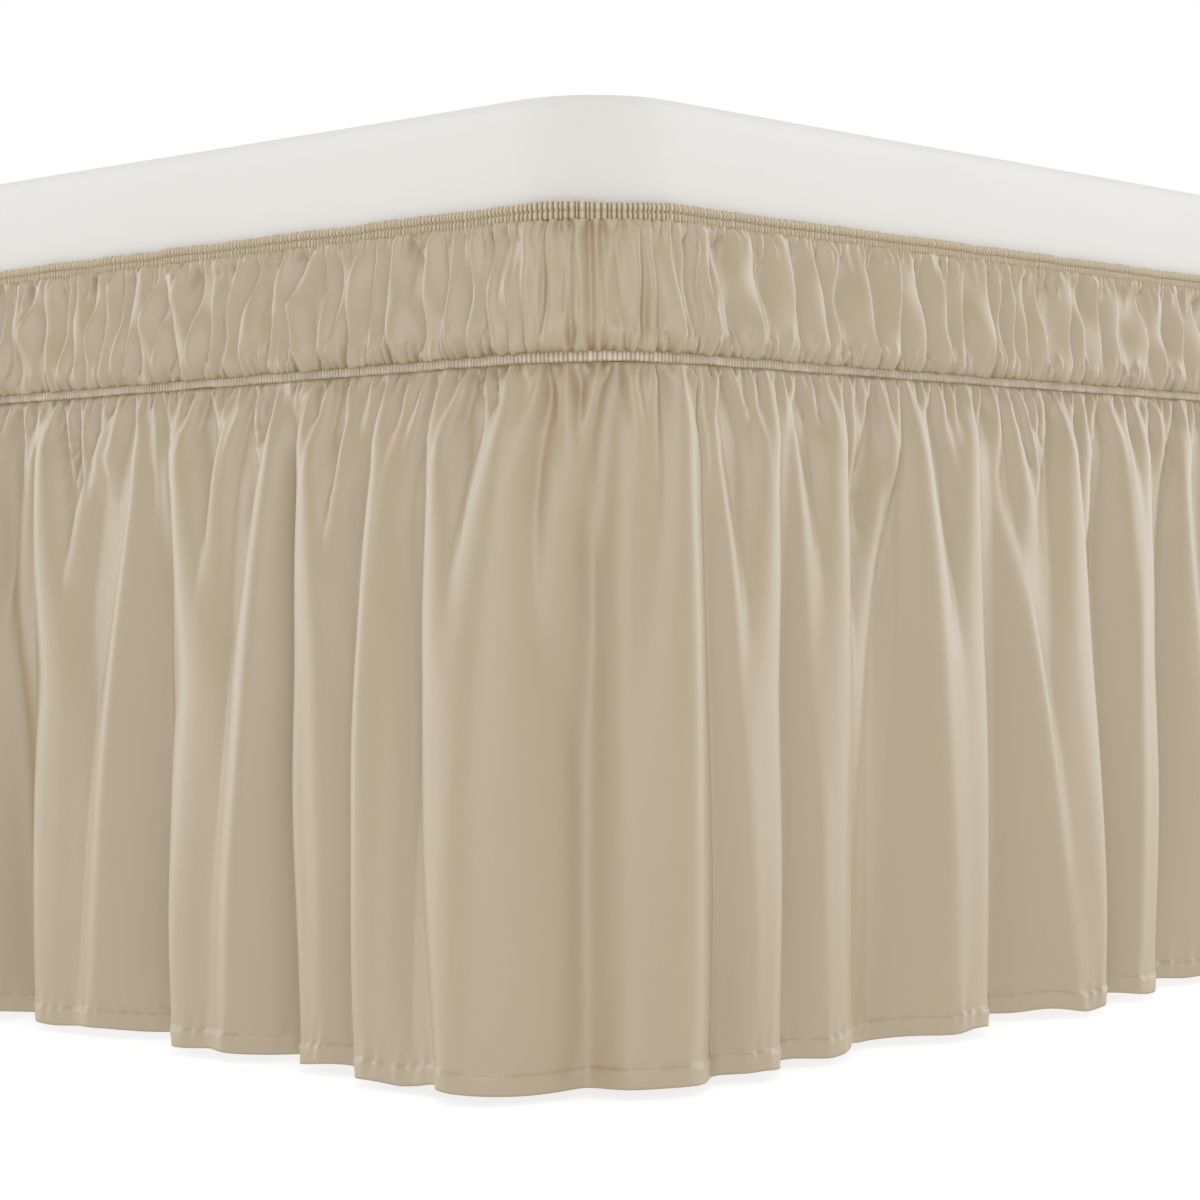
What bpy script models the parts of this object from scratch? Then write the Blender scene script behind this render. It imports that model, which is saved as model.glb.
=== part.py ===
"""A gathered elastic bed skirt around a plain twin bed base, as closed solids.

Metres, +Z up. The origin is on the floor under the middle of the bed. The foot end
faces -Y, the head end +Y. The near corner, where the folds are set one by one, is the
one at +X, -Y. The pattern of folds repeats after half a turn about the origin.

A place on the skirt is given by its height and two numbers: how far along the bed's rim
it is, from the middle of the near corner and anticlockwise seen from above, and how far
out from the side of the base it stands.
"""
import math
import random
from typing import NamedTuple

import bmesh
import bpy
from mathutils import Vector

# Bed base
BED_WIDTH = 0.970
BED_LENGTH = 1.890
CORNER_RADIUS = 0.056
CORNER_STEPS = 8
BASE_BOTTOM = 0.234
BASE_TOP = 0.463
TOP_EDGE_ROUND = 0.014
TOP_EDGE_STEPS = 4
BOTTOM_EDGE_ROUND = 0.004
BOTTOM_EDGE_STEPS = 2
SMOOTH_BELOW = math.radians(40)
LEG_RADIUS = 0.025
LEG_SIDES = 24
LEG_INSET = 0.090

# Heights of the skirt's pieces
SKIRT_TOP = 0.411
TOP_ELASTIC_HEIGHT = 0.008
MIDDLE_ELASTIC_TOP = 0.3437
MIDDLE_ELASTIC_HEIGHT = 0.0068
HEM_HEIGHT = 0.005

# Thicknesses and clearances
GAP = 0.0003
SAME_HEIGHT = 0.0001
CLOTH_THICKNESS = 0.0015
TOP_ELASTIC_THICKNESS = 0.0024
MIDDLE_ELASTIC_THICKNESS = 0.0016

# Lower drop: rows of points from the hem up, as parts of the fall from its top edge
DROP_ROWS = (1.0, 0.66, 0.34, 0.12, 0.0)
DROP_TOP_OUT = 0.0030
FLARE_POWER = 0.6
DROP_GATHER_DEPTH = 0.0034
DROP_GATHER_REACH = 0.55
DROP_COLUMN_PITCH = 0.0145

# Upper band: rows of points from its lower edge up, as parts of its height
BAND_ROWS = (0.0, 0.34, 0.74, 1.0)
BAND_FULLNESS = (0.0, 1.0, 0.72, 0.0)
BAND_EDGE_OUT = 0.0025
BAND_PUFF_HIGH = (0.0055, 0.0085)
BAND_PUFF_LOW = (0.0010, 0.0032)
BAND_COLUMN_PITCH = 0.0155

# Seams between the four widths of cloth, each in a valley just past a corner
SEAM_PAST_CORNER = 0.045
SEAM_FLAT = 0.004
SEAM_OUT = 0.008

# Folds of the sides that are turned away; a crest's ends are parts of its fold's width
SIDE_FOLD_WIDTH = (0.048, 0.098)
SIDE_VALLEY_OUT = (0.0065, 0.011)
SIDE_CREST_FROM = (0.26, 0.46)
SIDE_CREST_TO = (0.58, 0.78)
SIDE_CREST_OUT = (0.026, 0.046)
SIDE_LEAN = (-0.014, 0.014)
LONG_SIDE_FOLDS = 19
END_FOLDS = 7

CORNER_ARC = CORNER_RADIUS * math.pi / 2
LONG_RUN = BED_LENGTH - 2 * CORNER_RADIUS
SHORT_RUN = BED_WIDTH - 2 * CORNER_RADIUS
HALF_RIM = 2 * CORNER_ARC + LONG_RUN + SHORT_RUN


class Fold(NamedTuple):
    """One fold of the drop at the hem: a valley and the crest that comes after it."""

    valley_at: float
    valley_out: float
    crest_from: float
    crest_to: float
    crest_out: float
    lean: float


class Line(NamedTuple):
    """A line down the drop: its places at the hem, and along the rim at its top."""

    hem_at: float
    hem_out: float
    top_at: float


# The folds about the near corner; lean is how much further along each is at its top
NEAR_FOLDS = (
    Fold(valley_at=-0.396, valley_out=0.007, crest_from=-0.369, crest_to=-0.322,
         crest_out=0.034, lean=-0.022),
    Fold(valley_at=-0.279, valley_out=0.007, crest_from=-0.255, crest_to=-0.204,
         crest_out=0.041, lean=-0.012),
    Fold(valley_at=-0.173, valley_out=0.010, crest_from=-0.159, crest_to=-0.140,
         crest_out=0.038, lean=-0.016),
    Fold(valley_at=-0.118, valley_out=0.026, crest_from=-0.104, crest_to=-0.068,
         crest_out=0.050, lean=-0.018),
    Fold(valley_at=-0.056, valley_out=0.038, crest_from=-0.047, crest_to=-0.041,
         crest_out=0.056, lean=-0.026),
    Fold(valley_at=-0.008, valley_out=0.021, crest_from=0.002, crest_to=0.009,
         crest_out=0.027, lean=-0.004),
    Fold(valley_at=SEAM_PAST_CORNER, valley_out=SEAM_OUT, crest_from=0.067, crest_to=0.080,
         crest_out=0.027, lean=0.0),
    Fold(valley_at=0.104, valley_out=0.007, crest_from=0.132, crest_to=0.142,
         crest_out=0.022, lean=0.014),
    Fold(valley_at=0.176, valley_out=0.0065, crest_from=0.222, crest_to=0.244,
         crest_out=0.034, lean=0.012),
    Fold(valley_at=0.282, valley_out=0.007, crest_from=0.331, crest_to=0.347,
         crest_out=0.041, lean=0.010),
    Fold(valley_at=0.374, valley_out=0.010, crest_from=0.397, crest_to=0.411,
         crest_out=0.035, lean=0.016),
    Fold(valley_at=0.438, valley_out=0.008, crest_from=0.478, crest_to=0.500,
         crest_out=0.030, lean=0.010),
)
NEAR_FOLDS_END = 0.526


def mix(low, high, part):
    """Return the value that lies the given part of the way from low to high."""
    return low + (high - low) * part


def smooth(part):
    """Return part, from 0 to 1, eased at both ends as a rounded fold is."""
    return part * part * (3 - 2 * part)


# ---------------------------------------------------------------- the bed's rim


def corner_centre(index):
    """Return the centre of a corner's arc: 0 is the near one, then anticlockwise."""
    side_x = (1, 1, -1, -1)[index]
    side_y = (-1, 1, 1, -1)[index]
    return Vector((side_x * SHORT_RUN / 2, side_y * LONG_RUN / 2))


def direction(angle):
    """Return the unit vector at an angle from +X."""
    return Vector((math.cos(angle), math.sin(angle)))


def rim_point(along, out):
    """Return the plan position of a point along the rim and out from the base."""
    rest = (along + CORNER_ARC / 2) % (2 * HALF_RIM)
    for index, run in enumerate((LONG_RUN, SHORT_RUN, LONG_RUN, SHORT_RUN)):
        start_angle = math.radians(90 * index - 90)
        if rest <= CORNER_ARC:
            outward = direction(start_angle + rest / CORNER_RADIUS)
            return corner_centre(index) + outward * (CORNER_RADIUS + out)
        rest -= CORNER_ARC
        if rest <= run:
            outward = direction(start_angle + math.pi / 2)
            onward = direction(start_angle + math.pi)
            return corner_centre(index) + outward * (CORNER_RADIUS + out) + onward * rest
        rest -= run
    return rim_point(0.0, out)


def rim_outline(out):
    """Return the corner points of the whole rim at a distance out from the base."""
    points = []
    for index in range(4):
        for step in range(CORNER_STEPS + 1):
            angle = math.radians(90 * index - 90 + 90 * step / CORNER_STEPS)
            points.append(corner_centre(index) + direction(angle) * (CORNER_RADIUS + out))
    return points


# ---------------------------------------------------------------- objects and materials


def make_material(name, colour, roughness):
    """Return a plain Principled material."""
    material = bpy.data.materials.new(name)
    material.use_nodes = True
    shader = material.node_tree.nodes["Principled BSDF"]
    shader.inputs["Base Color"].default_value = (*colour, 1.0)
    shader.inputs["Roughness"].default_value = roughness
    shader.inputs["Metallic"].default_value = 0.0
    return material


def make_collection(name):
    """Return a new collection of the scene."""
    collection = bpy.data.collections.new(name)
    bpy.context.scene.collection.children.link(collection)
    return collection


def add_object(name, data, material, parent, collection):
    """Return a new object with a material, under the part's origin."""
    item = bpy.data.objects.new(name, data)
    data.materials.append(material)
    item.parent = parent
    collection.objects.link(item)
    return item


def bevel_edges(shape, chosen, width, steps):
    """Round the edges of a bmesh for which chosen(edge) is true."""
    edges = [edge for edge in shape.edges if chosen(edge)]
    bmesh.ops.bevel(shape, geom=edges, offset=width, offset_type="OFFSET", segments=steps,
                    profile=0.5, affect="EDGES")


# ---------------------------------------------------------------- bed base and legs


def build_base(material, parent, collection):
    """Build the base: a box with rounded upright corners and soft rims."""
    shape = bmesh.new()
    bmesh.ops.create_cube(shape, size=1.0)
    for vertex in shape.verts:
        vertex.co = Vector((vertex.co.x * BED_WIDTH, vertex.co.y * BED_LENGTH,
                            mix(BASE_BOTTOM, BASE_TOP, vertex.co.z + 0.5)))
    bevel_edges(shape, lambda edge: abs(edge.verts[0].co.z - edge.verts[1].co.z) > SAME_HEIGHT,
                CORNER_RADIUS, CORNER_STEPS)
    for height, width, steps in ((BASE_TOP, TOP_EDGE_ROUND, TOP_EDGE_STEPS),
                                 (BASE_BOTTOM, BOTTOM_EDGE_ROUND, BOTTOM_EDGE_STEPS)):
        bevel_edges(shape, lambda edge, level=height: all(
            abs(vertex.co.z - level) < SAME_HEIGHT for vertex in edge.verts), width, steps)
    mesh = bpy.data.meshes.new("bed_base")
    shape.to_mesh(mesh)
    shape.free()
    mesh.shade_smooth()
    mesh.set_sharp_from_angle(angle=SMOOTH_BELOW)
    add_object("bed_base", mesh, material, parent, collection)


def build_legs(material, parent, collection):
    """Build the four round legs, from the floor to just under the base."""
    height = BASE_BOTTOM - GAP
    for end, side_y in (("foot", -1), ("head", 1)):
        for side, side_x in (("right", 1), ("left", -1)):
            shape = bmesh.new()
            bmesh.ops.create_cone(shape, cap_ends=True, segments=LEG_SIDES,
                                  radius1=LEG_RADIUS, radius2=LEG_RADIUS, depth=height)
            name = f"leg_{end}_{side}"
            mesh = bpy.data.meshes.new(name)
            shape.to_mesh(mesh)
            shape.free()
            mesh.shade_smooth()
            mesh.set_sharp_from_angle(angle=SMOOTH_BELOW)
            leg = add_object(name, mesh, material, parent, collection)
            leg.location = (side_x * (BED_WIDTH / 2 - LEG_INSET),
                            side_y * (BED_LENGTH / 2 - LEG_INSET), height / 2)


# ---------------------------------------------------------------- elastics


def build_elastic(name, top, height, thickness, material, parent, collection):
    """Build one closed ring of elastic, lying against the side of the base."""
    curve = bpy.data.curves.new(name, "CURVE")
    curve.dimensions = "2D"
    curve.fill_mode = "BOTH"
    curve.extrude = height / 2
    for out in (GAP + thickness, GAP):
        outline = rim_outline(out)
        spline = curve.splines.new("POLY")
        spline.points.add(len(outline) - 1)
        for point, place in zip(spline.points, outline):
            point.co = (place.x, place.y, 0.0, 1.0)
        spline.use_cyclic_u = True
    ring = add_object(name, curve, material, parent, collection)
    ring.location.z = top - height / 2


# ---------------------------------------------------------------- sheets of cloth


def build_sheet(name, columns, rows, place, material, parent, collection):
    """Build a sheet from a grid whose points are set by place(column, row).

    Columns run on along the rim and rows run up, so the faces look outwards.
    The cloth's thickness goes inwards from them.
    """
    shape = bmesh.new()
    bmesh.ops.create_grid(shape, x_segments=columns - 1, y_segments=rows - 1, size=1.0)
    for vertex in shape.verts:
        column = round((vertex.co.x + 1) / 2 * (columns - 1))
        row = round((vertex.co.y + 1) / 2 * (rows - 1))
        vertex.co = place(column, row)
    mesh = bpy.data.meshes.new(name)
    shape.to_mesh(mesh)
    shape.free()
    mesh.shade_smooth()
    sheet = add_object(name, mesh, material, parent, collection)
    wall = sheet.modifiers.new("thickness", "SOLIDIFY")
    wall.thickness = CLOTH_THICKNESS
    wall.offset = -1.0


def side_folds(start, end, count, seed):
    """Return uneven folds that fill a turned-away run of the rim."""
    draw = random.Random(seed)
    widths = [draw.uniform(*SIDE_FOLD_WIDTH) for _ in range(count)]
    scale = (end - start) / sum(widths)
    folds = []
    at = start
    for width in widths:
        width *= scale
        folds.append(Fold(at, draw.uniform(*SIDE_VALLEY_OUT),
                          at + width * draw.uniform(*SIDE_CREST_FROM),
                          at + width * draw.uniform(*SIDE_CREST_TO),
                          draw.uniform(*SIDE_CREST_OUT), draw.uniform(*SIDE_LEAN)))
        at += width
    return folds


def fold_lines(folds, distance=0.0):
    """Return the valley line and the two crest lines of each fold, moved along the rim."""
    lines = []
    for fold in folds:
        for at, out in ((fold.valley_at, fold.valley_out), (fold.crest_from, fold.crest_out),
                        (fold.crest_to, fold.crest_out)):
            lines.append(Line(at + distance, out, at + distance + fold.lean))
    return lines


def seam_line(distance, past):
    """Return the upright line that lies past a seam, where the cloth is flat."""
    at = SEAM_PAST_CORNER + distance + past
    return Line(at, SEAM_OUT, at)


def columns_of(lines):
    """Return the columns of one width of cloth: its lines and even steps between them."""
    columns = []
    for near, far in zip(lines, lines[1:]):
        steps = max(1, round((far.hem_at - near.hem_at) / DROP_COLUMN_PITCH))
        for step in range(steps):
            part = step / steps
            columns.append(Line(mix(near.hem_at, far.hem_at, part),
                                mix(near.hem_out, far.hem_out, smooth(part)),
                                mix(near.top_at, far.top_at, part)))
    return columns + [lines[-1]]


def build_drop(name, lines, start, material, parent, collection):
    """Build one width of the lower drop, with its rim positions counted from start."""
    columns = columns_of(lines)
    last = len(columns) - 1
    top = MIDDLE_ELASTIC_TOP - MIDDLE_ELASTIC_HEIGHT - GAP

    def place(column, row):
        line = columns[column]
        fall = DROP_ROWS[row]
        out = mix(DROP_TOP_OUT, line.hem_out, fall ** FLARE_POWER)
        if column % 2 == 0 and 1 < column < last - 1:
            out += DROP_GATHER_DEPTH * max(0.0, 1 - fall / DROP_GATHER_REACH)
        plan = rim_point(start + mix(line.top_at, line.hem_at, fall), out)
        return Vector((plan.x, plan.y, mix(top, HEM_HEIGHT, fall)))

    build_sheet(name, len(columns), len(DROP_ROWS), place, material, parent, collection)


def build_band(name, begin, end, seed, material, parent, collection):
    """Build one width of the puffed band between the two elastics."""
    draw = random.Random(seed)
    bottom = MIDDLE_ELASTIC_TOP + GAP
    top = SKIRT_TOP - TOP_ELASTIC_HEIGHT - GAP
    gathers = round((end - begin) / BAND_COLUMN_PITCH / 2) * 2
    columns = [begin]
    columns += [mix(begin + SEAM_FLAT, end - SEAM_FLAT, step / gathers)
                for step in range(gathers + 1)]
    columns += [end]
    last = len(columns) - 1
    puffs = [draw.uniform(*(BAND_PUFF_HIGH if column % 2 == 0 else BAND_PUFF_LOW))
             for column in range(last + 1)]
    for column in (0, 1, last - 1, last):
        puffs[column] = BAND_PUFF_LOW[0]

    def place(column, row):
        out = BAND_EDGE_OUT + puffs[column] * BAND_FULLNESS[row]
        plan = rim_point(columns[column], out)
        return Vector((plan.x, plan.y, mix(bottom, top, BAND_ROWS[row])))

    build_sheet(name, len(columns), len(BAND_ROWS), place, material, parent, collection)


def seam_to_seam():
    """Return the lines of the long-side width and of the end width."""
    split = [fold.valley_at for fold in NEAR_FOLDS].index(SEAM_PAST_CORNER)
    far_corner = CORNER_ARC + LONG_RUN
    far_seam = SEAM_PAST_CORNER + far_corner
    before, after = NEAR_FOLDS[:split], NEAR_FOLDS[split:]
    to_far_seam = side_folds(NEAR_FOLDS_END, far_seam, LONG_SIDE_FOLDS, seed=11)
    to_half_turn = side_folds(far_seam, HALF_RIM + before[0].valley_at, END_FOLDS, seed=23)
    long_side = [seam_line(0.0, GAP / 2), seam_line(0.0, SEAM_FLAT),
                 *fold_lines(after)[1:], *fold_lines(to_far_seam),
                 seam_line(far_corner, -SEAM_FLAT), seam_line(far_corner, -GAP / 2)]
    end_side = [seam_line(far_corner, GAP / 2), seam_line(far_corner, SEAM_FLAT),
                *fold_lines(to_half_turn)[1:], *fold_lines(before, HALF_RIM),
                seam_line(HALF_RIM, -SEAM_FLAT), seam_line(HALF_RIM, -GAP / 2)]
    return long_side, end_side


def build():
    """Build the bed skirt on its base."""
    for item in list(bpy.data.objects):
        bpy.data.objects.remove(item)
    collection = make_collection("bed_skirt")
    origin = bpy.data.objects.new("bed_skirt_origin", None)
    collection.objects.link(origin)

    cloth = make_material("beige_cloth", (0.56, 0.47, 0.33), 0.62)
    elastic = make_material("beige_elastic", (0.58, 0.49, 0.35), 0.75)
    cover = make_material("white_cover", (0.86, 0.85, 0.84), 0.80)
    wood = make_material("pale_wood", (0.60, 0.45, 0.28), 0.55)

    build_base(cover, origin, collection)
    build_legs(wood, origin, collection)
    build_elastic("top_elastic", SKIRT_TOP, TOP_ELASTIC_HEIGHT, TOP_ELASTIC_THICKNESS,
                  elastic, origin, collection)
    build_elastic("middle_elastic", MIDDLE_ELASTIC_TOP, MIDDLE_ELASTIC_HEIGHT,
                  MIDDLE_ELASTIC_THICKNESS, elastic, origin, collection)

    long_side, end_side = seam_to_seam()
    for seed, side, lines, start in ((5, "right", long_side, 0.0), (6, "head", end_side, 0.0),
                                     (7, "left", long_side, HALF_RIM),
                                     (8, "foot", end_side, HALF_RIM)):
        build_drop(f"drop_{side}", lines, start, cloth, origin, collection)
        build_band(f"band_{side}", start + lines[0].hem_at, start + lines[-1].hem_at, seed,
                   cloth, origin, collection)


build()
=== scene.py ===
"""A gathered elastic bed skirt round its white bed base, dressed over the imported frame.

Metres, +Z up, in the frame's own axes. A place on the skirt is given by its height and
two numbers: how far along the bed's rim it is, from the middle of the near corner and
anticlockwise seen from above, and how far out from the side of the base it stands.
"""

import logging
import math
import random
from dataclasses import dataclass, field
from enum import Enum
from typing import Any, Callable, NamedTuple, Sequence

import bmesh
import bpy
import numpy as np
from mathutils import Matrix, Vector

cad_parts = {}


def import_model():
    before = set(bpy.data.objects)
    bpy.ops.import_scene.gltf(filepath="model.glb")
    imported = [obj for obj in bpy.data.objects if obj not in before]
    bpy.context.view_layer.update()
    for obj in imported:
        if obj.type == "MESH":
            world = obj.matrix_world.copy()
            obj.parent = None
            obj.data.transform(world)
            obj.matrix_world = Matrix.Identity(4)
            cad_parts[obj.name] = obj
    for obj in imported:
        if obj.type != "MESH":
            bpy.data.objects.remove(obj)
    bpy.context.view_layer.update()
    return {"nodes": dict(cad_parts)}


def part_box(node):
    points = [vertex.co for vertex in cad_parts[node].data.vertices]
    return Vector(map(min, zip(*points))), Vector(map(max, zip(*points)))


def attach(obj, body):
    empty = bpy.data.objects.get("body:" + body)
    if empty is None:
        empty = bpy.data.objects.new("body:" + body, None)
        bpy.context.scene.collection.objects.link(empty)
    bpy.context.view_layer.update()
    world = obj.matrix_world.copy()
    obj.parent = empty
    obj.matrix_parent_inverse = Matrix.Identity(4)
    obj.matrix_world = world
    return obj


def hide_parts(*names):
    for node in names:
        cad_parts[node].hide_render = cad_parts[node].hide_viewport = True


LOG = logging.getLogger("bed_skirt")
BODY = "root"

Colour = tuple[float, float, float]
Span = tuple[float, float]
Positions = Callable[[float], np.ndarray]

# The run of the rim about the near corner that the photograph shows.
SEEN: Span = (-0.45, 0.53)
# How much of the tape's height the cloth laps over, above and below.
TAPE_LAP = 0.0004


def mix(low: Any, high: Any, part: Any) -> Any:
    """Return what lies the given part of the way from low to high."""
    return low + (high - low) * part


def ease(part: Any) -> Any:
    """Return part, held between 0 and 1, eased at both ends as a rounded fold is."""
    part = np.clip(part, 0.0, 1.0)
    return part * part * (3 - 2 * part)


# ---------------------------------------------------------------- shader graphs


def operator(operation: str, swapped: bool = False) -> Callable[["Value", Any], "Value"]:
    """Return a method that joins a shader value to another, or to a number, by one Math node."""
    def combine(self: "Value", other: "Value | float") -> "Value":
        return self.graph.maths(operation, *((other, self) if swapped else (self, other)))

    return combine


class Value:
    """A shader value that Python's own operators work on, each adding one Math node."""

    __add__, __radd__ = operator("ADD"), operator("ADD", swapped=True)
    __sub__, __rsub__ = operator("SUBTRACT"), operator("SUBTRACT", swapped=True)
    __mul__, __rmul__ = operator("MULTIPLY"), operator("MULTIPLY", swapped=True)
    __truediv__ = operator("DIVIDE")

    def __init__(self, graph: "Graph", socket: bpy.types.NodeSocket) -> None:
        """Keep the output socket and the graph that it belongs to."""
        self.graph = graph
        self.socket = socket

    def __abs__(self) -> "Value":
        """Return the size without its sign."""
        return self.graph.maths("ABSOLUTE", self)


class Graph:
    """The nodes of one material."""

    def __init__(self, name: str) -> None:
        """Make a material that holds only a Principled shader and its output."""
        self.material = bpy.data.materials.new(name)
        self.material.use_nodes = True
        self.tree = self.material.node_tree
        self.shader = self.tree.nodes["Principled BSDF"]

    def node(self, kind: str, settings: dict[str, Any] | None = None,
             sockets: dict[str | int, Any] | None = None) -> bpy.types.Node:
        """Add one node.

        Args:
            kind: the node's type.
            settings: what is set on the node first.
            sockets: what each input is fed.

        Returns:
            The new node.
        """
        made = self.tree.nodes.new(kind)
        for key, setting in (settings or {}).items():
            setattr(made, key, setting)
        for key, given in (sockets or {}).items():
            self.feed(made.inputs[key], given)
        return made

    def feed(self, target: bpy.types.NodeSocket, given: Any) -> None:
        """Set an input to a number or an opaque colour, or link a Value or a socket to it."""
        given = given.socket if isinstance(given, Value) else given
        if isinstance(given, bpy.types.NodeSocket):
            self.tree.links.new(given, target)
        else:
            target.default_value = (*given, 1.0) if isinstance(given, tuple) else given

    def maths(self, operation: str, *numbers: Value | float) -> Value:
        """Return the result of a Math node."""
        made = self.node("ShaderNodeMath", {"operation": operation}, dict(enumerate(numbers)))
        return Value(self, made.outputs[0])

    def wave(self, place: Value, length: float) -> Value:
        """Return a sine wave, from -1 to 1, of a given length."""
        return self.maths("SINE", place * (2 * math.pi / length))

    def chart(self) -> bpy.types.NodeSocket:
        """Return the place on the piece's own map, in metres along and up it."""
        return self.node("ShaderNodeUVMap", {"uv_map": "UVMap"}).outputs[0]

    def place(self) -> bpy.types.NodeSocket:
        """Return the place in the object's own axes."""
        return self.node("ShaderNodeTexCoord").outputs["Object"]

    def split(self, source: bpy.types.NodeSocket) -> tuple[Value, Value, Value]:
        """Return the three parts of a vector."""
        made = self.node("ShaderNodeSeparateXYZ", sockets={0: source})
        return tuple(Value(self, output) for output in made.outputs)

    def join(self, x: Value, y: Value, z: Value | float = 0.0) -> bpy.types.NodeSocket:
        """Return a vector made of three values."""
        return self.node("ShaderNodeCombineXYZ", sockets={0: x, 1: y, 2: z}).outputs[0]

    def noise(self, place: bpy.types.NodeSocket, scale: float = 1.0, detail: float = 2.0) -> Value:
        """Return soft noise between 0 and 1 over a place."""
        made = self.node("ShaderNodeTexNoise", {"noise_dimensions": "3D"},
                         {"Vector": place, "Scale": scale, "Detail": detail})
        return Value(self, made.outputs[0])

    def blend(self, factor: Value, first: Any, second: Any) -> bpy.types.NodeSocket:
        """Return a colour that lies between two by a factor."""
        made = self.node("ShaderNodeMix", {"data_type": "RGBA"},
                         {"Factor": factor, 6: first, 7: second})
        return made.outputs[2]

    def bump(self, height: Value, distance: float, strength: float) -> bpy.types.NodeSocket:
        """Return a normal that a height raises."""
        return self.node("ShaderNodeBump", sockets={
            "Height": height, "Distance": distance, "Strength": strength}).outputs[0]

    def set_shader(self, **sockets: Any) -> bpy.types.Material:
        """Feed the shader's inputs, named with underscores for spaces, and return the material."""
        for key, given in sockets.items():
            self.feed(self.shader.inputs[key.replace("_", " ")], given)
        return self.material


# ---------------------------------------------------------------- finishes


@dataclass(frozen=True)
class SatinCloth:
    """Brushed microfibre with a soft satin face and, on a hemmed cloth, a line of stitches."""

    slot: str = "skirt_cloth"
    pale: Colour = (0.388, 0.284, 0.148)
    deep: Colour = (0.346, 0.249, 0.122)
    roughness: float = 0.46
    patchiness: float = 0.10
    ior: float = 1.8
    specular: float = 1.0
    glint: Colour = (0.88, 0.94, 1.0)
    sheen: Colour = (1.0, 0.98, 0.96)
    sheen_weight: float = 0.15
    sheen_roughness: float = 0.30
    thread: float = 0.00045
    weave_height: float = 0.10
    streak_scale: Span = (900.0, 60.0)
    streak_share: float = 0.35
    streak_height: float = 0.5
    cloud_scale: float = 14.0
    detail: float = 3.0
    relief: float = 0.0002
    relief_strength: float = 0.30
    stitch_colour: Colour = (0.260, 0.190, 0.105)
    stitch_shade: float = 0.32
    stitch_line: float = 0.0094
    stitch_length: float = 0.0028
    stitch_width: float = 0.0006
    stitch_from: float = -0.35
    stitch_height: float = 3.4
    stitch_sunk: float = 3.0

    def make(self, hemmed: bool) -> bpy.types.Material:
        """Build the material, with stitches along the lower edge if the cloth is hemmed."""
        graph = Graph("satin_cloth_hemmed" if hemmed else "satin_cloth")
        chart = graph.chart()
        along, up, _ = graph.split(chart)
        stretched = graph.join(along * self.streak_scale[0], up * self.streak_scale[1])
        streaks = graph.noise(stretched, detail=self.detail)
        clouds = graph.noise(chart, self.cloud_scale, self.detail)
        colour = graph.blend(mix(clouds, streaks, self.streak_share), self.deep, self.pale)
        weave = graph.wave(along, self.thread) + graph.wave(up, self.thread)
        height = weave * self.weave_height + streaks * self.streak_height
        if hemmed:
            line = 1.0 - graph.maths("MINIMUM", abs(up - self.stitch_line) / self.stitch_width, 1.0)
            dash = graph.maths(
                "GREATER_THAN", graph.wave(along, self.stitch_length), self.stitch_from)
            height = height + line * dash * self.stitch_height - line * self.stitch_sunk
            colour = graph.blend(line * self.stitch_shade, colour, self.stitch_colour)
        return graph.set_shader(
            Base_Color=colour, Roughness=clouds * self.patchiness + self.roughness,
            IOR=self.ior, Specular_IOR_Level=self.specular, Specular_Tint=self.glint,
            Sheen_Weight=self.sheen_weight, Sheen_Roughness=self.sheen_roughness,
            Sheen_Tint=self.sheen, Normal=graph.bump(height, self.relief, self.relief_strength))


@dataclass(frozen=True)
class RibbedElastic:
    """Matt elastic whose upright ribs are in its mesh; fine threads and painted groove shade are
    added here.
    """

    slot: str = "elastic"
    name: str = "ribbed_elastic"
    # pale on the rib tops, deep in the grooves between ribs: mostly painted shade, partly random
    # fibre tone
    pale: Colour = (0.880, 0.785, 0.645)
    deep: Colour = (0.470, 0.385, 0.285)
    roughness: float = 0.60
    patchiness: float = 0.12
    specular: float = 0.30
    sheen_weight: float = 0.12
    thread: float = 0.0004
    thread_height: float = 0.25
    fibre_scale: Span = (2600.0, 1400.0)
    rib_shade_share: float = 0.75
    relief: float = 0.00012
    relief_strength: float = 0.5

    def make(self) -> bpy.types.Material:
        """Build the material."""
        graph = Graph(self.name)
        along, up, _ = graph.split(graph.chart())
        fibres = graph.noise(graph.join(along * self.fibre_scale[0], up * self.fibre_scale[1]))
        # The rib value, 1 on a rib's top and 0 in its groove, paints shade into the grooves.
        rib = graph.node("ShaderNodeAttribute", {"attribute_name": "rib"})
        ribs = Value(graph, rib.outputs["Fac"])
        colour = graph.blend(mix(fibres, ribs, self.rib_shade_share), self.deep, self.pale)
        height = graph.wave(up, self.thread) * self.thread_height + fibres
        return graph.set_shader(
            Base_Color=colour, Roughness=fibres * self.patchiness + self.roughness,
            Specular_IOR_Level=self.specular, Sheen_Weight=self.sheen_weight,
            Normal=graph.bump(height, self.relief, self.relief_strength))


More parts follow.
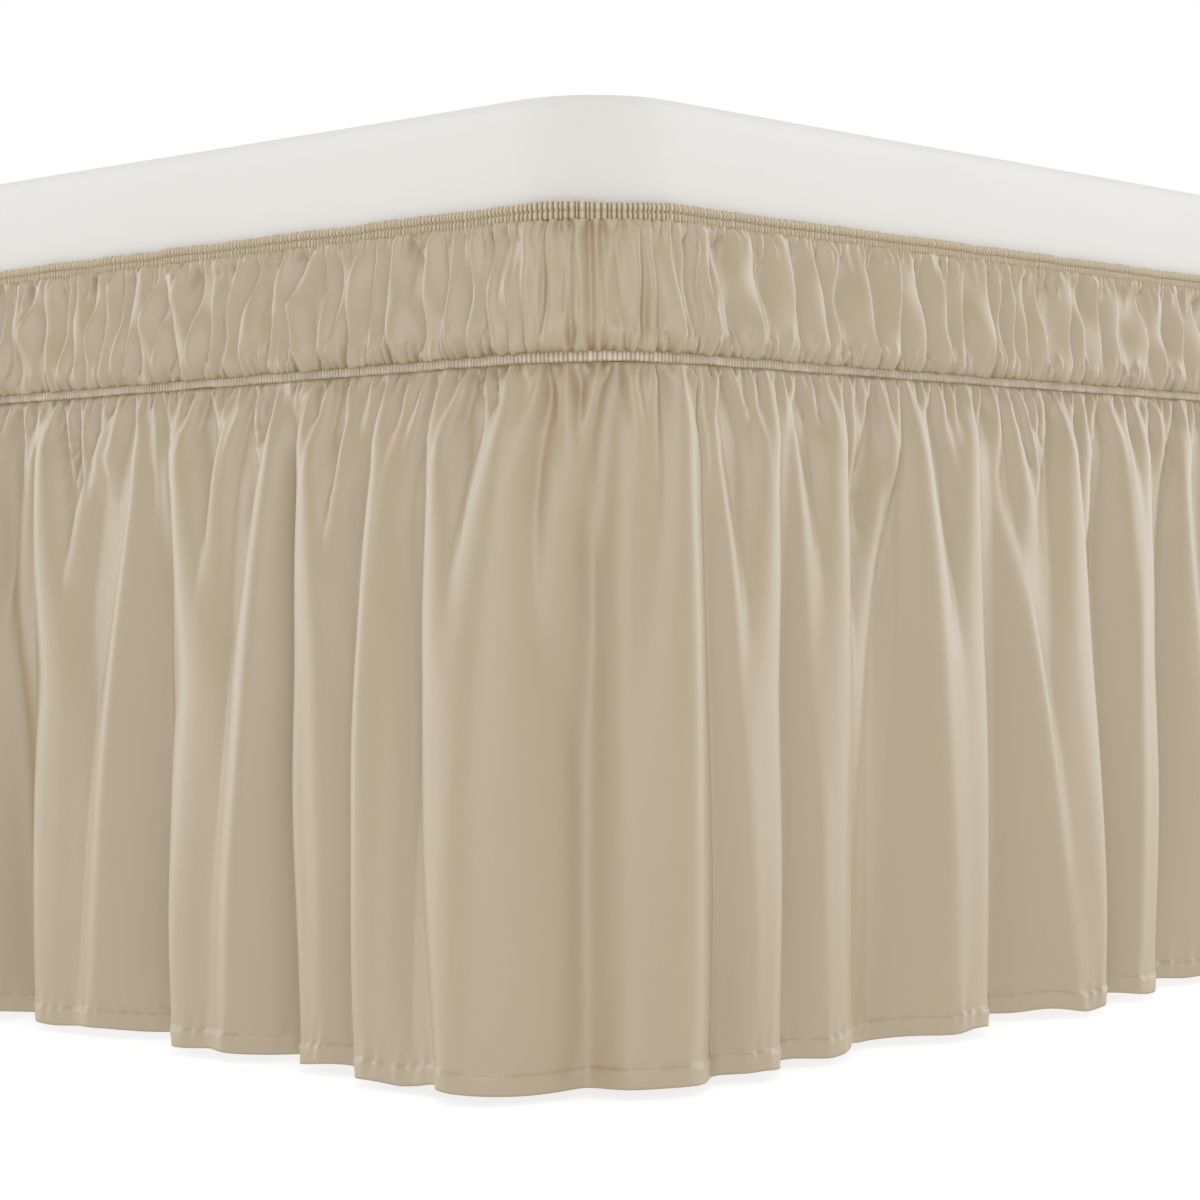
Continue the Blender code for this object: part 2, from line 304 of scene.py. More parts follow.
@dataclass(frozen=True)
class CottonCover:
    """Plain white cotton pulled over the base, with a fine even weave."""

    slot: str = "base_cover"
    pale: Colour = (0.692, 0.670, 0.640)
    deep: Colour = (0.664, 0.642, 0.610)
    roughness: float = 0.85
    patchiness: float = 0.10
    specular: float = 0.25
    sheen_weight: float = 0.10
    thread: float = 0.0006
    weave_height: float = 0.2
    cloud_scale: float = 5.0
    cloud_detail: float = 3.0
    nap_scale: float = 700.0
    relief: float = 0.00015
    relief_strength: float = 0.4

    def make(self) -> bpy.types.Material:
        """Build the material."""
        graph = Graph("cotton_cover")
        place = graph.place()
        x, y, z = graph.split(place)
        clouds = graph.noise(place, self.cloud_scale, self.cloud_detail)
        nap = graph.noise(place, self.nap_scale)
        weave = graph.wave(x + y, self.thread) + graph.wave(z + x - y, self.thread)
        return graph.set_shader(
            Base_Color=graph.blend(clouds, self.deep, self.pale),
            Roughness=nap * self.patchiness + self.roughness,
            Specular_IOR_Level=self.specular, Sheen_Weight=self.sheen_weight,
            Normal=graph.bump(weave * self.weave_height + nap, self.relief, self.relief_strength))


@dataclass(frozen=True)
class LacqueredWood:
    """Pale turned wood under a satin lacquer, its grain running up the leg."""

    slot: str = "leg_wood"
    pale: Colour = (0.640, 0.490, 0.310)
    deep: Colour = (0.470, 0.320, 0.180)
    roughness: float = 0.42
    patchiness: float = 0.12
    ring: float = 0.006
    ring_share: float = 0.6
    wander: float = 0.02
    wander_scale: Span = (22.0, 3.0)
    wander_detail: float = 3.0
    pore_scale: Span = (1800.0, 70.0)
    pore_detail: float = 2.0
    coat: float = 0.25
    coat_roughness: float = 0.25
    relief: float = 0.0001
    relief_strength: float = 0.4

    def make(self) -> bpy.types.Material:
        """Build the material."""
        graph = Graph("lacquered_wood")
        x, y, z = graph.split(graph.place())
        wander, pores = (
            graph.noise(graph.join(x * across, y * across, z * up), detail=detail)
            for (across, up), detail in ((self.wander_scale, self.wander_detail),
                                         (self.pore_scale, self.pore_detail)))
        rings = graph.wave(x + wander * self.wander, self.ring)
        grain = mix(pores, rings * 0.5 + 0.5, self.ring_share)
        return graph.set_shader(
            Base_Color=graph.blend(grain, self.deep, self.pale),
            Roughness=pores * self.patchiness + self.roughness,
            Coat_Weight=self.coat, Coat_Roughness=self.coat_roughness,
            Normal=graph.bump(pores, self.relief, self.relief_strength))


@dataclass(frozen=True)
class StudioPaper:
    """Matt pale paper of the studio's floor, lit a little from below."""

    colour: Colour = (0.30, 0.30, 0.30)
    light: Colour = (1.0, 1.0, 1.0)
    lit: float = 0.78
    roughness: float = 0.95
    specular: float = 0.1

    def make(self) -> bpy.types.Material:
        """Build the material."""
        return Graph("studio_paper").set_shader(
            Base_Color=self.colour, Roughness=self.roughness, Specular_IOR_Level=self.specular,
            Emission_Color=self.light, Emission_Strength=self.lit)


# ---------------------------------------------------------------- the bed's rim


class Side(Enum):
    """The four widths of cloth, named for the sides of the bed that they hang on."""

    RIGHT = "right"
    HEAD = "head"
    LEFT = "left"
    FOOT = "foot"


@dataclass(frozen=True)
class Rim:
    """The rounded rectangle that the skirt is stretched round."""

    half_width: float
    half_length: float
    corner_radius: float = 0.056
    seam_past_corner: float = 0.045
    gap: float = 0.0003
    corner_turn: float = 12.0

    @property
    def corner_arc(self) -> float:
        """Length of one corner."""
        return self.corner_radius * math.pi / 2

    @property
    def runs(self) -> tuple[float, float]:
        """Lengths of the straight part of the long side and of the end."""
        return (2 * (self.half_length - self.corner_radius),
                2 * (self.half_width - self.corner_radius))

    @property
    def far_corner(self) -> float:
        """How far along the middle of the second corner is."""
        return self.corner_arc + self.runs[0]

    @property
    def half_turn(self) -> float:
        """Half the length of the rim, after which the pattern of folds repeats."""
        return 2 * self.corner_arc + sum(self.runs)

    @property
    def around(self) -> float:
        """Length of the whole rim."""
        return 2 * self.half_turn

    def plan(self, along: np.ndarray, out: np.ndarray) -> tuple[np.ndarray, np.ndarray]:
        """Return the plan position of points along the rim and out from the base.

        Args:
            along: rim positions.
            out: distances out from the side of the base, in the same shape.

        Returns:
            The X and Y positions.
        """
        rest = (along + self.corner_arc / 2) % self.around
        x, y = np.zeros_like(rest), np.zeros_like(rest)
        begins = 0.0
        for index in range(4):
            run = self.runs[index % 2]
            here = rest - begins
            inside = (here >= 0) & (here < self.corner_arc + run)
            centre_x = (1, 1, -1, -1)[index] * self.runs[1] / 2
            centre_y = (-1, 1, 1, -1)[index] * self.runs[0] / 2
            turned = np.clip(here, 0, self.corner_arc) / self.corner_radius
            angle = math.radians(90 * index - 90) + turned
            straight = np.clip(here - self.corner_arc, 0, run)
            x = np.where(inside, centre_x + np.cos(angle) * (self.corner_radius + out)
                         - np.sin(angle) * straight, x)
            y = np.where(inside, centre_y + np.sin(angle) * (self.corner_radius + out)
                         + np.cos(angle) * straight, y)
            begins += self.corner_arc + run
        return x, y

    @property
    def seams(self) -> Span:
        """Places of the two seams of half the rim."""
        return self.seam_past_corner, self.far_corner + self.seam_past_corner

    def span(self, side: Side) -> Span:
        """Return where a width of cloth starts and ends, from seam to seam."""
        corners_at = (0.0, self.far_corner, self.half_turn, self.half_turn + self.far_corner,
                      self.around)
        index = list(Side).index(side)
        return tuple(corner + self.seam_past_corner for corner in corners_at[index:index + 2])

    def from_corner(self, along: float) -> float:
        """Return a place's signed distance from the near corner, the shorter way round."""
        return (along + self.half_turn) % self.around - self.half_turn

    def past_corner(self, along: np.ndarray) -> np.ndarray:
        """Return on which side of the near corner places are, from -1 to 1 across the corner."""
        turned = np.sin(2 * math.pi * along / self.half_turn)
        return np.clip(turned * self.corner_turn, -1.0, 1.0)

    def apart(self, along: np.ndarray, other: np.ndarray) -> np.ndarray:
        """Return signed distances between rim positions, which repeat after half a turn."""
        return (along - other + self.half_turn / 2) % self.half_turn - self.half_turn / 2


# ---------------------------------------------------------------- meshes


def deselect_all() -> None:
    """Leave object mode with nothing selected."""
    if bpy.context.object is not None and bpy.context.object.mode != "OBJECT":
        bpy.ops.object.mode_set(mode="OBJECT")
    bpy.ops.object.select_all(action="DESELECT")


def graded(start: float, end: float, first: float, widest: float, last: float,
           growth: float = 1.35) -> np.ndarray:
    """Return places from start to end whose steps are small at both ends.

    Args:
        start: the first place.
        end: the last place.
        first: the first step.
        widest: the widest step, in the middle.
        last: the last step.
        growth: how much wider each step is than the one before it.

    Returns:
        The places, in rising order.
    """
    def ramp(step: float) -> list[float]:
        steps = []
        while step < widest:
            steps.append(step)
            step *= growth
        return steps

    head, tail = ramp(first), ramp(last)[::-1]
    middle = max(1, round((end - start - sum(head) - sum(tail)) / widest))
    steps = np.array(head + [widest] * middle + tail)
    return start + np.concatenate([[0.0], np.cumsum(steps * (end - start) / steps.sum())])


def place_grid(name: str, x: np.ndarray, y: np.ndarray, z: np.ndarray,
               across: np.ndarray, up: np.ndarray) -> bpy.types.Object:
    """Add a grid and move its points to given places, as a net is laid over a form.

    Args:
        name: the piece's name.
        x: X of each point, a row for each row of the grid.
        y: Y of each point.
        z: Z of each point.
        across: the map's first number at each point, in metres along the cloth.
        up: the map's second number at each point, in metres up the cloth.

    Returns:
        The new object, with its place in its mesh.
    """
    rows, columns = x.shape
    deselect_all()
    bpy.ops.mesh.primitive_grid_add(x_subdivisions=columns - 1, y_subdivisions=rows - 1, size=2)
    piece = bpy.context.object
    piece.name = name
    mesh = piece.data
    mesh.name = name
    flat = np.zeros(len(mesh.vertices) * 3)
    mesh.vertices.foreach_get("co", flat)
    flat = flat.reshape(-1, 3)
    column = np.rint((flat[:, 0] + 1) / 2 * (columns - 1)).astype(int)
    row = np.rint((flat[:, 1] + 1) / 2 * (rows - 1)).astype(int)
    placed = np.stack([x[row, column], y[row, column], z[row, column]], axis=1)
    mesh.vertices.foreach_set("co", placed.ravel())
    corners = np.zeros(len(mesh.loops), dtype=int)
    mesh.loops.foreach_get("vertex_index", corners)
    chart = np.stack([across[row, column], up[row, column]], axis=1)[corners]
    mesh.uv_layers[0].name = "UVMap"
    mesh.uv_layers[0].data.foreach_set("uv", chart.ravel())
    mesh.update()
    return piece


def apply_modifier(piece: bpy.types.Object, kind: str, **settings: Any) -> None:
    """Add a modifier with its settings and apply it."""
    bpy.context.view_layer.objects.active = piece
    modifier = piece.modifiers.new(kind.lower(), kind)
    for key, setting in settings.items():
        setattr(modifier, key, setting)
    bpy.ops.object.modifier_apply(modifier=modifier.name)


def arc_lengths(x: np.ndarray, y: np.ndarray) -> np.ndarray:
    """Return the running length along each row of points."""
    steps = np.hypot(np.diff(x, axis=1), np.diff(y, axis=1))
    return np.concatenate([np.zeros((x.shape[0], 1)), np.cumsum(steps, axis=1)], axis=1)


def dress(piece: bpy.types.Object, material: bpy.types.Material, slot: str, *nodes: str) -> None:
    """Give a piece its material and body, and let it stand for its CAD nodes."""
    piece.data.materials.clear()
    piece.data.materials.append(material)
    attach(piece, BODY)
    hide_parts(*nodes)
    LOG.info("%s: %d faces, for %s", piece.name, len(piece.data.polygons), ", ".join(nodes))


# ---------------------------------------------------------------- crest lines


class Ripples:
    """Soft unevenness: a few slow waves in random directions, the same each run."""

    def __init__(self, seed: int, around: float, along: Span, up: Span,
                 count: int = 18, peak: float = 1.6) -> None:
        """Draw the waves.

        Args:
            seed: of the random draw.
            around: the length of the whole rim, which holds each wave a whole number of times.
            along: shortest and longest wave along the rim.
            up: shortest and longest wave up the cloth.
            count: how many waves are summed.
            peak: how far the sum goes at most, in parts of its usual size.
        """
        draw = random.Random(seed)
        self.waves = [(2 * math.pi / around * round(around / draw.uniform(*along))
                       * draw.choice((-1, 1)),
                       2 * math.pi / draw.uniform(*up), draw.uniform(0, 2 * math.pi))
                      for _ in range(count)]
        self.highest = math.sqrt(count / 2) * peak

    def at(self, along: np.ndarray, up: Any) -> np.ndarray:
        """Return the unevenness, about -1 to 1, at places on the cloth."""
        return sum(np.sin(along * a + up * b + c) for a, b, c in self.waves) / self.highest


@dataclass
class Crests:
    """Crest lines from a gathered edge, broad towards the near corner and steep past it."""

    rim: Rim
    at: Positions
    reaches: np.ndarray
    heights: np.ndarray
    steep: np.ndarray
    broad: np.ndarray
    full_at: float
    at_edge: float
    fades_from: float = 0.5
    narrow_at_edge: float = 0.55
    wide_at: float = 0.25
    widening: float = 1.5
    lowest: float = 1e-5

    def relief(self, along: np.ndarray, distance: float) -> np.ndarray:
        """Return how far the crests stand out at places along one row.

        Args:
            along: the places along the rim.
            distance: the row's distance from the gathered edge.

        Returns:
            The heights, in metres.
        """
        part = distance / self.reaches
        grown = ease(distance / self.full_at)
        stand = self.heights * mix(self.at_edge, 1.0, grown)
        stand = stand * (1 - ease((part - self.fades_from) / (1 - self.fades_from)))
        tall = stand > self.lowest
        if not tall.any():
            return np.zeros_like(along)
        places = self.at(distance)[tall]
        width = (mix(self.narrow_at_edge, 1.0, grown)
                 * (1 + self.widening * ease(distance / self.wide_at)))
        steep, broad = self.steep[tall] * width, self.broad[tall] * width
        past = (self.rim.past_corner(places) + 1) / 2
        apart = self.rim.apart(along[:, None], places[None, :])
        return crest_row(apart, stand[tall], mix(steep, broad, past), mix(broad, steep, past))


def crest_row(apart: np.ndarray, stand: np.ndarray, left: np.ndarray, right: np.ndarray,
              roundness: float = 2.4, flank: float = 1.35, crowding: float = 5.0) -> np.ndarray:
    """Return the relief of a row of crests, the higher one winning softly where two meet.

    Args:
        apart: distances of each place from each crest.
        stand: each crest's height.
        left: width of each crest's flank before its top.
        right: width of each crest's flank after its top.
        roundness: above 1, how broad and round the tops are.
        flank: above 1, how hollow the flanks run out.
        crowding: how firmly the higher crest wins.

    Returns:
        The relief at each place.
    """
    part = np.clip(np.abs(apart) / np.where(apart < 0, left, right), 0.0, 1.0)
    bumps = stand * (1 - part ** roundness) ** flank
    return (bumps ** crowding).sum(axis=1) ** (1 / crowding)


def pile_up(reliefs: Sequence[np.ndarray], crowding: float = 3.0) -> np.ndarray:
    """Return the relief where crests of several sizes meet, the highest winning softly."""
    return sum(relief ** crowding for relief in reliefs) ** (1 / crowding)


def spread(start: float, end: float, pitch: Span, draw: random.Random) -> np.ndarray:
    """Return uneven places that fill a run, each a drawn pitch after the last."""
    steps = []
    while sum(steps) < end - start:
        steps.append(draw.uniform(*pitch))
    scale = (end - start) / sum(steps)
    return start + np.cumsum(np.array(steps) * scale)


@dataclass(frozen=True)
class CrestStyle:
    """How one kind of crest looks; a reach is how far it runs from its edge."""

    reach: Span
    height: Span
    steep: Span
    broad: Span
    full_at: float
    at_edge: float

    def draw_sizes(self, draw: random.Random, count: int) -> list[np.ndarray]:
        """Draw the reach, the height, and the steep and the broad flank of some crests."""
        return [np.array([draw.uniform(*limits) for _ in range(count)])
                for limits in (self.reach, self.height, self.steep, self.broad)]


@dataclass(frozen=True)
class GatherStyle(CrestStyle):
    """Gathers of one size, which run towards larger crests, converge being how much of the way."""

    pitch: Span
    converge: float = 1.0

    def draw(self, rim: Rim, goals: Positions, seed: int, bare: Span | None = None) -> Crests:
        """Draw gathers for half the rim, each one running towards the nearest larger crest.

        Args:
            rim: the bed's rim.
            goals: where the larger crests are at a distance from the edge.
            seed: of the random draw.
            bare: a run of the rim that gets none.

        Returns:
            The crest lines.
        """
        draw = random.Random(seed)
        starts = spread(0.0, rim.half_turn, self.pitch, draw)
        if bare is not None:
            beside = rim.apart(starts, np.full_like(starts, (bare[0] + bare[1]) / 2))
            starts = starts[np.abs(beside) > (bare[1] - bare[0]) / 2]
        nearest = np.abs(rim.apart(starts[:, None], goals(0.0)[None, :])).argmin(axis=1)
        sizes = self.draw_sizes(draw, len(starts))

        def at(distance: float) -> np.ndarray:
            part = np.clip(distance / sizes[0], 0.0, 1.0) * self.converge
            return starts + rim.apart(goals(distance)[nearest], starts) * part

        return Crests(rim, at, *sizes, self.full_at, self.at_edge)


# ---------------------------------------------------------------- cloth in four widths


@dataclass(kw_only=True)
class Widths:
    """Four widths of cloth round the rim: what the drop and the band have in common.

    Each kind sets the levels of its rows of points, their places up the cloth's map, and the
    height of the cloth when laid flat.
    """

    rim: Rim
    name: str
    held: str
    fullness: float
    seen_step: float
    hidden_step: float
    row_steps: tuple[float, float, float]
    seen: Span = SEEN
    seen_fade: float = 0.05
    cloth: float = 0.0005
    tucked: float = 0.0024
    tucked_out: float = 0.0022
    edge_row: float = 0.0004
    first_row: float = 0.0002
    edge_rise: float = 0.0012
    lip: float = 0.0005
    levels: np.ndarray = field(init=False)
    chart_up: np.ndarray = field(init=False)
    flat_height: float = field(init=False)

    def columns(self, side: Side) -> np.ndarray:
        """Return a width's column places, closer together where the photograph shows them."""
        start, end = self.rim.span(side)
        places = [start]
        while places[-1] < end:
            from_corner = self.rim.from_corner(places[-1])
            past = max(self.seen[0] - from_corner, from_corner - self.seen[1], 0.0)
            fade = float(ease(past / self.seen_fade))
            places.append(places[-1] + mix(self.seen_step, self.hidden_step, fade))
        return start + (np.array(places) - start) * (end - start) / (places[-1] - start)

    def edge_share(self, distance: float) -> float:
        """Return how much of the relief there is at a distance from a held edge."""
        return ease((distance + self.edge_row) / self.edge_rise)

    def tucked_row(self, columns: np.ndarray, height: float) -> tuple[np.ndarray, ...]:
        """Return X, Y and Z of a row that is tucked behind an elastic."""
        x, y = self.rim.plan(columns, np.full_like(columns, self.tucked_out))
        return x, y, np.full_like(x, height)

    def row(self, columns: np.ndarray, level: float) -> tuple[np.ndarray, ...]:
        """Return X, Y and Z of one row of points, at one of the levels."""
        raise NotImplementedError

    def surface(self, side: Side) -> tuple[np.ndarray, ...]:
        """Return the X, Y, Z, and the map's two numbers, of each point of one width."""
        columns = self.columns(side)
        rows = [self.row(columns, level) for level in self.levels]
        x, y, z = (np.array(part) for part in zip(*rows))
        across = np.broadcast_to(arc_lengths(x, y)[len(self.levels) // 2], x.shape)
        return x, y, z, across, np.broadcast_to(self.chart_up[:, None], x.shape)

    def build(self, material: bpy.types.Material, slot: str, rests_on: list[str]) -> None:
        """Args:
            material: the cloth's finish.
            slot: the name of its material slot.
            rests_on: the pieces that hold the cloth; not used.
        """
        for side in Side:
            piece = place_grid(f"{self.name}_{side.value}_cloth", *self.surface(side))
            apply_modifier(piece, "SOLIDIFY", thickness=self.cloth, offset=-1.0)
            piece.data.shade_smooth()
            dress(piece, material, slot, f"{self.name}_{side.value}")
            start, end = self.rim.span(side)
            (end - start) * self.fullness


# ---------------------------------------------------------------- the lower drop


class Fold(NamedTuple):
    """One fold: a valley and the crest after it at the hem, and the crest at the tape."""

    valley_at: float
    valley_out: float
    crest_from: float
    crest_to: float
    crest_out: float
    from_top: float
    to_top: float


class Ridge(NamedTuple):
    """A crest of the near folds: its place at four levels, its reach, height and flanks."""

    top: float
    upper: float
    middle: float
    low: float
    reach: float
    height: float
    steep: float = 0.011
    broad: float = 0.014


class Dent(NamedTuple):
    """A soft trough in the cloth, or a soft bulge where its depth is below zero."""

    at: float
    fallen: float
    across: float
    down: float
    depth: float


@dataclass(kw_only=True)
class Drop(Widths):
    """The long lower part: four widths gathered at the tape, in folds down to a narrow hem."""

    top: float
    name: str = "drop"
    held: str = "gathered"
    fullness: float = 1.45
    seen_step: float = 0.00125
    hidden_step: float = 0.0026
    row_steps: tuple[float, float, float] = (0.0006, 0.0140, 0.0016)
    hem: float = 0.005
    hem_allowance: float = 0.019
    hem_step: float = 0.0011
    hem_rise: float = 0.0012
    hem_waves: int = 3
    stitch_line: float = 0.0094
    stitch_reach: float = 0.0009
    pucker_size: float = 0.0005
    pucker_reach: float = 0.0060
    top_out: float = 0.0050
    lip_reach: float = 0.003
    flare: float = 0.5
    slow_start: float = 0.022
    uneven: float = 0.0011
    uneven_from: float = 0.05
    wandering: float = 0.0010
    wander_from: float = 0.06
    shoulder_top: float = 0.0018
    shoulder_low: float = 0.0034
    trough: float = 0.10
    deepest_trough: float = 0.006
    seam_out: float = 0.008
    seam_flat: float = 0.004
    seam_sunk: float = 0.0005
    seam_width: float = 0.0014
    outline_step: float = 0.001
    near_end: float = 0.526
    near_folds: tuple[Fold, ...] = (
        Fold(-0.396, 0.007, -0.362, -0.320, 0.028, -0.382, -0.296),
        Fold(-0.279, 0.007, -0.243, -0.204, 0.035, -0.270, -0.187),
        Fold(-0.173, 0.01, -0.154, -0.140, 0.032, -0.175, -0.150),
        Fold(-0.118, 0.026, -0.104, -0.068, 0.044, -0.116, -0.090),
        Fold(-0.056, 0.038, -0.043, -0.039, 0.050, -0.077, -0.034),
        Fold(-0.008, 0.01, 0.004, 0.030, 0.020, 0.008, 0.036),
        Fold(0.045, 0.008, 0.060, 0.073, 0.021, 0.055, 0.100),
        Fold(0.104, 0.007, 0.121, 0.131, 0.017, 0.112, 0.152),
        Fold(0.176, 0.0065, 0.218, 0.240, 0.028, 0.218, 0.264),
        Fold(0.282, 0.007, 0.322, 0.343, 0.035, 0.290, 0.358),
        Fold(0.374, 0.01, 0.391, 0.406, 0.029, 0.410, 0.437),
        Fold(0.438, 0.008, 0.478, 0.500, 0.024, 0.468, 0.490),
    )
    ridge_levels: tuple[float, ...] = (0.0, 0.050, 0.150, 0.3316)
    ridges: tuple[Ridge, ...] = (
        Ridge(-0.386, -0.397, -0.405, -0.405, 0.22, 0.0060, 0.006, 0.010),
        Ridge(-0.382, -0.371, -0.355, -0.359, 0.50, 0.0097),
        Ridge(-0.350, -0.338, -0.347, -0.350, 0.06, 0.0048, 0.005, 0.006),
        Ridge(-0.318, -0.341, -0.357, -0.360, 0.16, 0.0072, 0.006, 0.010),
        Ridge(-0.311, -0.325, -0.335, -0.340, 0.06, 0.0048, 0.005, 0.007),
        Ridge(-0.297, -0.295, -0.301, -0.316, 0.50, 0.0081),
        Ridge(-0.286, -0.281, -0.296, -0.300, 0.12, 0.0072, 0.006, 0.009),
        Ridge(-0.270, -0.255, -0.235, -0.240, 0.50, 0.0097),
        Ridge(-0.225, -0.231, -0.234, -0.236, 0.18, 0.0072, 0.006, 0.010),
        Ridge(-0.213, -0.196, -0.196, -0.196, 0.07, 0.0060, 0.005, 0.007),
        Ridge(-0.187, -0.192, -0.196, -0.202, 0.50, 0.0097),
        Ridge(-0.175, -0.160, -0.153, -0.152, 0.45, 0.0097),
        Ridge(-0.134, -0.139, -0.150, -0.150, 0.13, 0.0072, 0.006, 0.009),
        Ridge(-0.116, -0.106, -0.104, -0.104, 0.45, 0.0097),
        Ridge(-0.096, -0.101, -0.104, -0.104, 0.08, 0.0060, 0.006, 0.009),
        Ridge(-0.077, -0.067, -0.051, -0.043, 0.50, 0.0097),
        Ridge(-0.028, -0.039, -0.038, -0.038, 0.50, 0.0081),
        Ridge(-0.009, -0.016, -0.013, -0.013, 0.20, 0.0048, 0.006, 0.009),
        Ridge(-0.012, -0.008, 0.000, 0.000, 0.09, 0.0036, 0.008, 0.006),
        Ridge(0.016, 0.019, 0.016, 0.014, 0.40, 0.0049),
        Ridge(0.037, 0.037, 0.032, 0.030, 0.60, 0.0097),
        Ridge(0.052, 0.050, 0.059, 0.054, 0.45, 0.0065, 0.013, 0.014),
        Ridge(0.080, 0.088, 0.086, 0.080, 0.09, 0.0048, 0.006, 0.008),
        Ridge(0.100, 0.090, 0.079, 0.072, 0.50, 0.0097),
        Ridge(0.107, 0.114, 0.129, 0.127, 0.40, 0.0065, 0.012, 0.014),
        Ridge(0.152, 0.146, 0.139, 0.129, 0.50, 0.0097),
        Ridge(0.172, 0.162, 0.160, 0.158, 0.08, 0.0048, 0.006, 0.006),
        Ridge(0.202, 0.192, 0.160, 0.142, 0.30, 0.0072, 0.006, 0.011),
        Ridge(0.215, 0.216, 0.224, 0.218, 0.45, 0.0081, 0.013, 0.014),
        Ridge(0.247, 0.248, 0.255, 0.255, 0.08, 0.0048, 0.006, 0.008),
        Ridge(0.266, 0.255, 0.246, 0.238, 0.50, 0.0097),
        Ridge(0.291, 0.276, 0.288, 0.318, 0.45, 0.0081, 0.013, 0.014),
        Ridge(0.300, 0.307, 0.318, 0.320, 0.10, 0.0060, 0.007, 0.010),
        Ridge(0.328, 0.316, 0.312, 0.312, 0.08, 0.0060, 0.005, 0.010),
        Ridge(0.357, 0.348, 0.343, 0.341, 0.50, 0.0097),
        Ridge(0.378, 0.370, 0.346, 0.346, 0.12, 0.0072, 0.006, 0.010),
        Ridge(0.408, 0.411, 0.400, 0.391, 0.40, 0.0081, 0.012, 0.014),
        Ridge(0.437, 0.424, 0.409, 0.404, 0.50, 0.0097),
        Ridge(0.464, 0.450, 0.437, 0.437, 0.25, 0.0060, 0.007, 0.012),
        Ridge(0.487, 0.472, 0.470, 0.480, 0.40, 0.0097),
    )
    dents: tuple[Dent, ...] = (
        Dent(0.046, 0.026, 0.004, 0.010, 0.0022),
        Dent(0.134, 0.030, 0.004, 0.010, 0.0024),
        Dent(0.170, 0.054, 0.006, 0.012, 0.0034),
        Dent(0.189, 0.058, 0.004, 0.010, 0.0026),
        Dent(0.384, 0.034, 0.012, 0.012, -0.0040),
        Dent(-0.338, 0.045, 0.005, 0.010, 0.0022),
        Dent(-0.206, 0.060, 0.004, 0.012, 0.0022),
        Dent(-0.025, 0.052, 0.006, 0.012, 0.0018),
    )
    side_width: Span = (0.048, 0.098)
    side_valley_out: Span = (0.0065, 0.011)
    side_crest_from: Span = (0.26, 0.46)
    side_crest_to: Span = (0.58, 0.78)
    side_crest_out: Span = (0.026, 0.046)
    side_lean: Span = (-0.014, 0.014)
    shoulders: CrestStyle = CrestStyle(
        reach=(0.32, 0.50), height=(0.0080, 0.0105), steep=(0.008, 0.010), broad=(0.010, 0.015),
        full_at=0.034, at_edge=0.42)
    folds: GatherStyle = GatherStyle(
        pitch=(0.024, 0.040), reach=(0.08, 0.26), height=(0.0060, 0.0080), steep=(0.006, 0.008),
        broad=(0.008, 0.012), full_at=0.030, at_edge=0.42)
    gathers: GatherStyle = GatherStyle(
        pitch=(0.010, 0.015), reach=(0.030, 0.090), height=(0.0045, 0.0065),
        steep=(0.0036, 0.0056), broad=(0.0044, 0.0070), full_at=0.010, at_edge=0.60)
    tucks: GatherStyle = GatherStyle(
        pitch=(0.0048, 0.0074), reach=(0.012, 0.030), height=(0.0036, 0.0050),
        steep=(0.0022, 0.0028), broad=(0.0024, 0.0034), full_at=0.003, at_edge=0.80)

    def __post_init__(self) -> None:
        """Set the rows, work out the fold lines and draw the gathers."""
        self.fall = self.top - self.hem
        self.flat_height = self.fall + self.hem_allowance
        stitched = self.stitch_line + self.stitch_reach * np.array([-1.0, 0.0, 1.0])
        hanging = graded(self.first_row, self.fall, *self.row_steps)
        self.levels = np.array(sorted(
            [-self.tucked, -self.edge_row, *hanging, *(self.fall - stitched)], reverse=True))
        self.chart_up = self.fall - self.levels
        self.measure_folds()
        long_crests = (self.near_crests(), self.side_crests())

        def long_at(distance: float) -> np.ndarray:
            return np.concatenate([crests.at(distance) for crests in long_crests])

        medium = self.folds.draw(self.rim, long_at, seed=41,
                                 bare=(self.near_folds[0].valley_at, self.near_end))
        fine = self.gathers.draw(self.rim, lambda distance: np.concatenate(
            [medium.at(distance), long_at(distance)]), seed=42)
        tiny = self.tucks.draw(self.rim, fine.at, seed=43)
        self.crests = (*long_crests, medium, fine, tiny)
        self.ripples = Ripples(44, self.rim.around, along=(0.05, 0.14), up=(0.25, 0.60))
        self.wander = Ripples(45, self.rim.around, along=(0.10, 0.30), up=(0.10, 0.30))
        self.pucker = Ripples(46, self.rim.around, along=(0.006, 0.013), up=(0.02, 0.06))

    def side_folds(self, start: float, end: float, count: int, seed: int) -> list[Fold]:
        """Return uneven folds that fill a turned-away run of the rim."""
        draw = random.Random(seed)
        widths = [draw.uniform(*self.side_width) for _ in range(count)]
        scale = (end - start) / sum(widths)
        folds = []
        at = start
        for width in widths:
            width *= scale
            valley_out = draw.uniform(*self.side_valley_out)
            crest_from = at + width * draw.uniform(*self.side_crest_from)
            crest_to = at + width * draw.uniform(*self.side_crest_to)
            crest_out = draw.uniform(*self.side_crest_out)
            lean = draw.uniform(*self.side_lean)
            folds.append(Fold(at, valley_out, crest_from, crest_to, crest_out,
                              crest_from + lean, crest_to + lean))
            at += width
        return folds

    def turned_folds(self) -> list[Fold]:
        """Return the folds of half the rim that the near folds leave, in order."""
        far_seam = self.rim.seams[1]
        last = self.rim.half_turn + self.near_folds[0].valley_at
        return [*self.side_folds(self.near_end, far_seam, count=19, seed=11),
                *self.side_folds(far_seam, last, count=7, seed=23)]

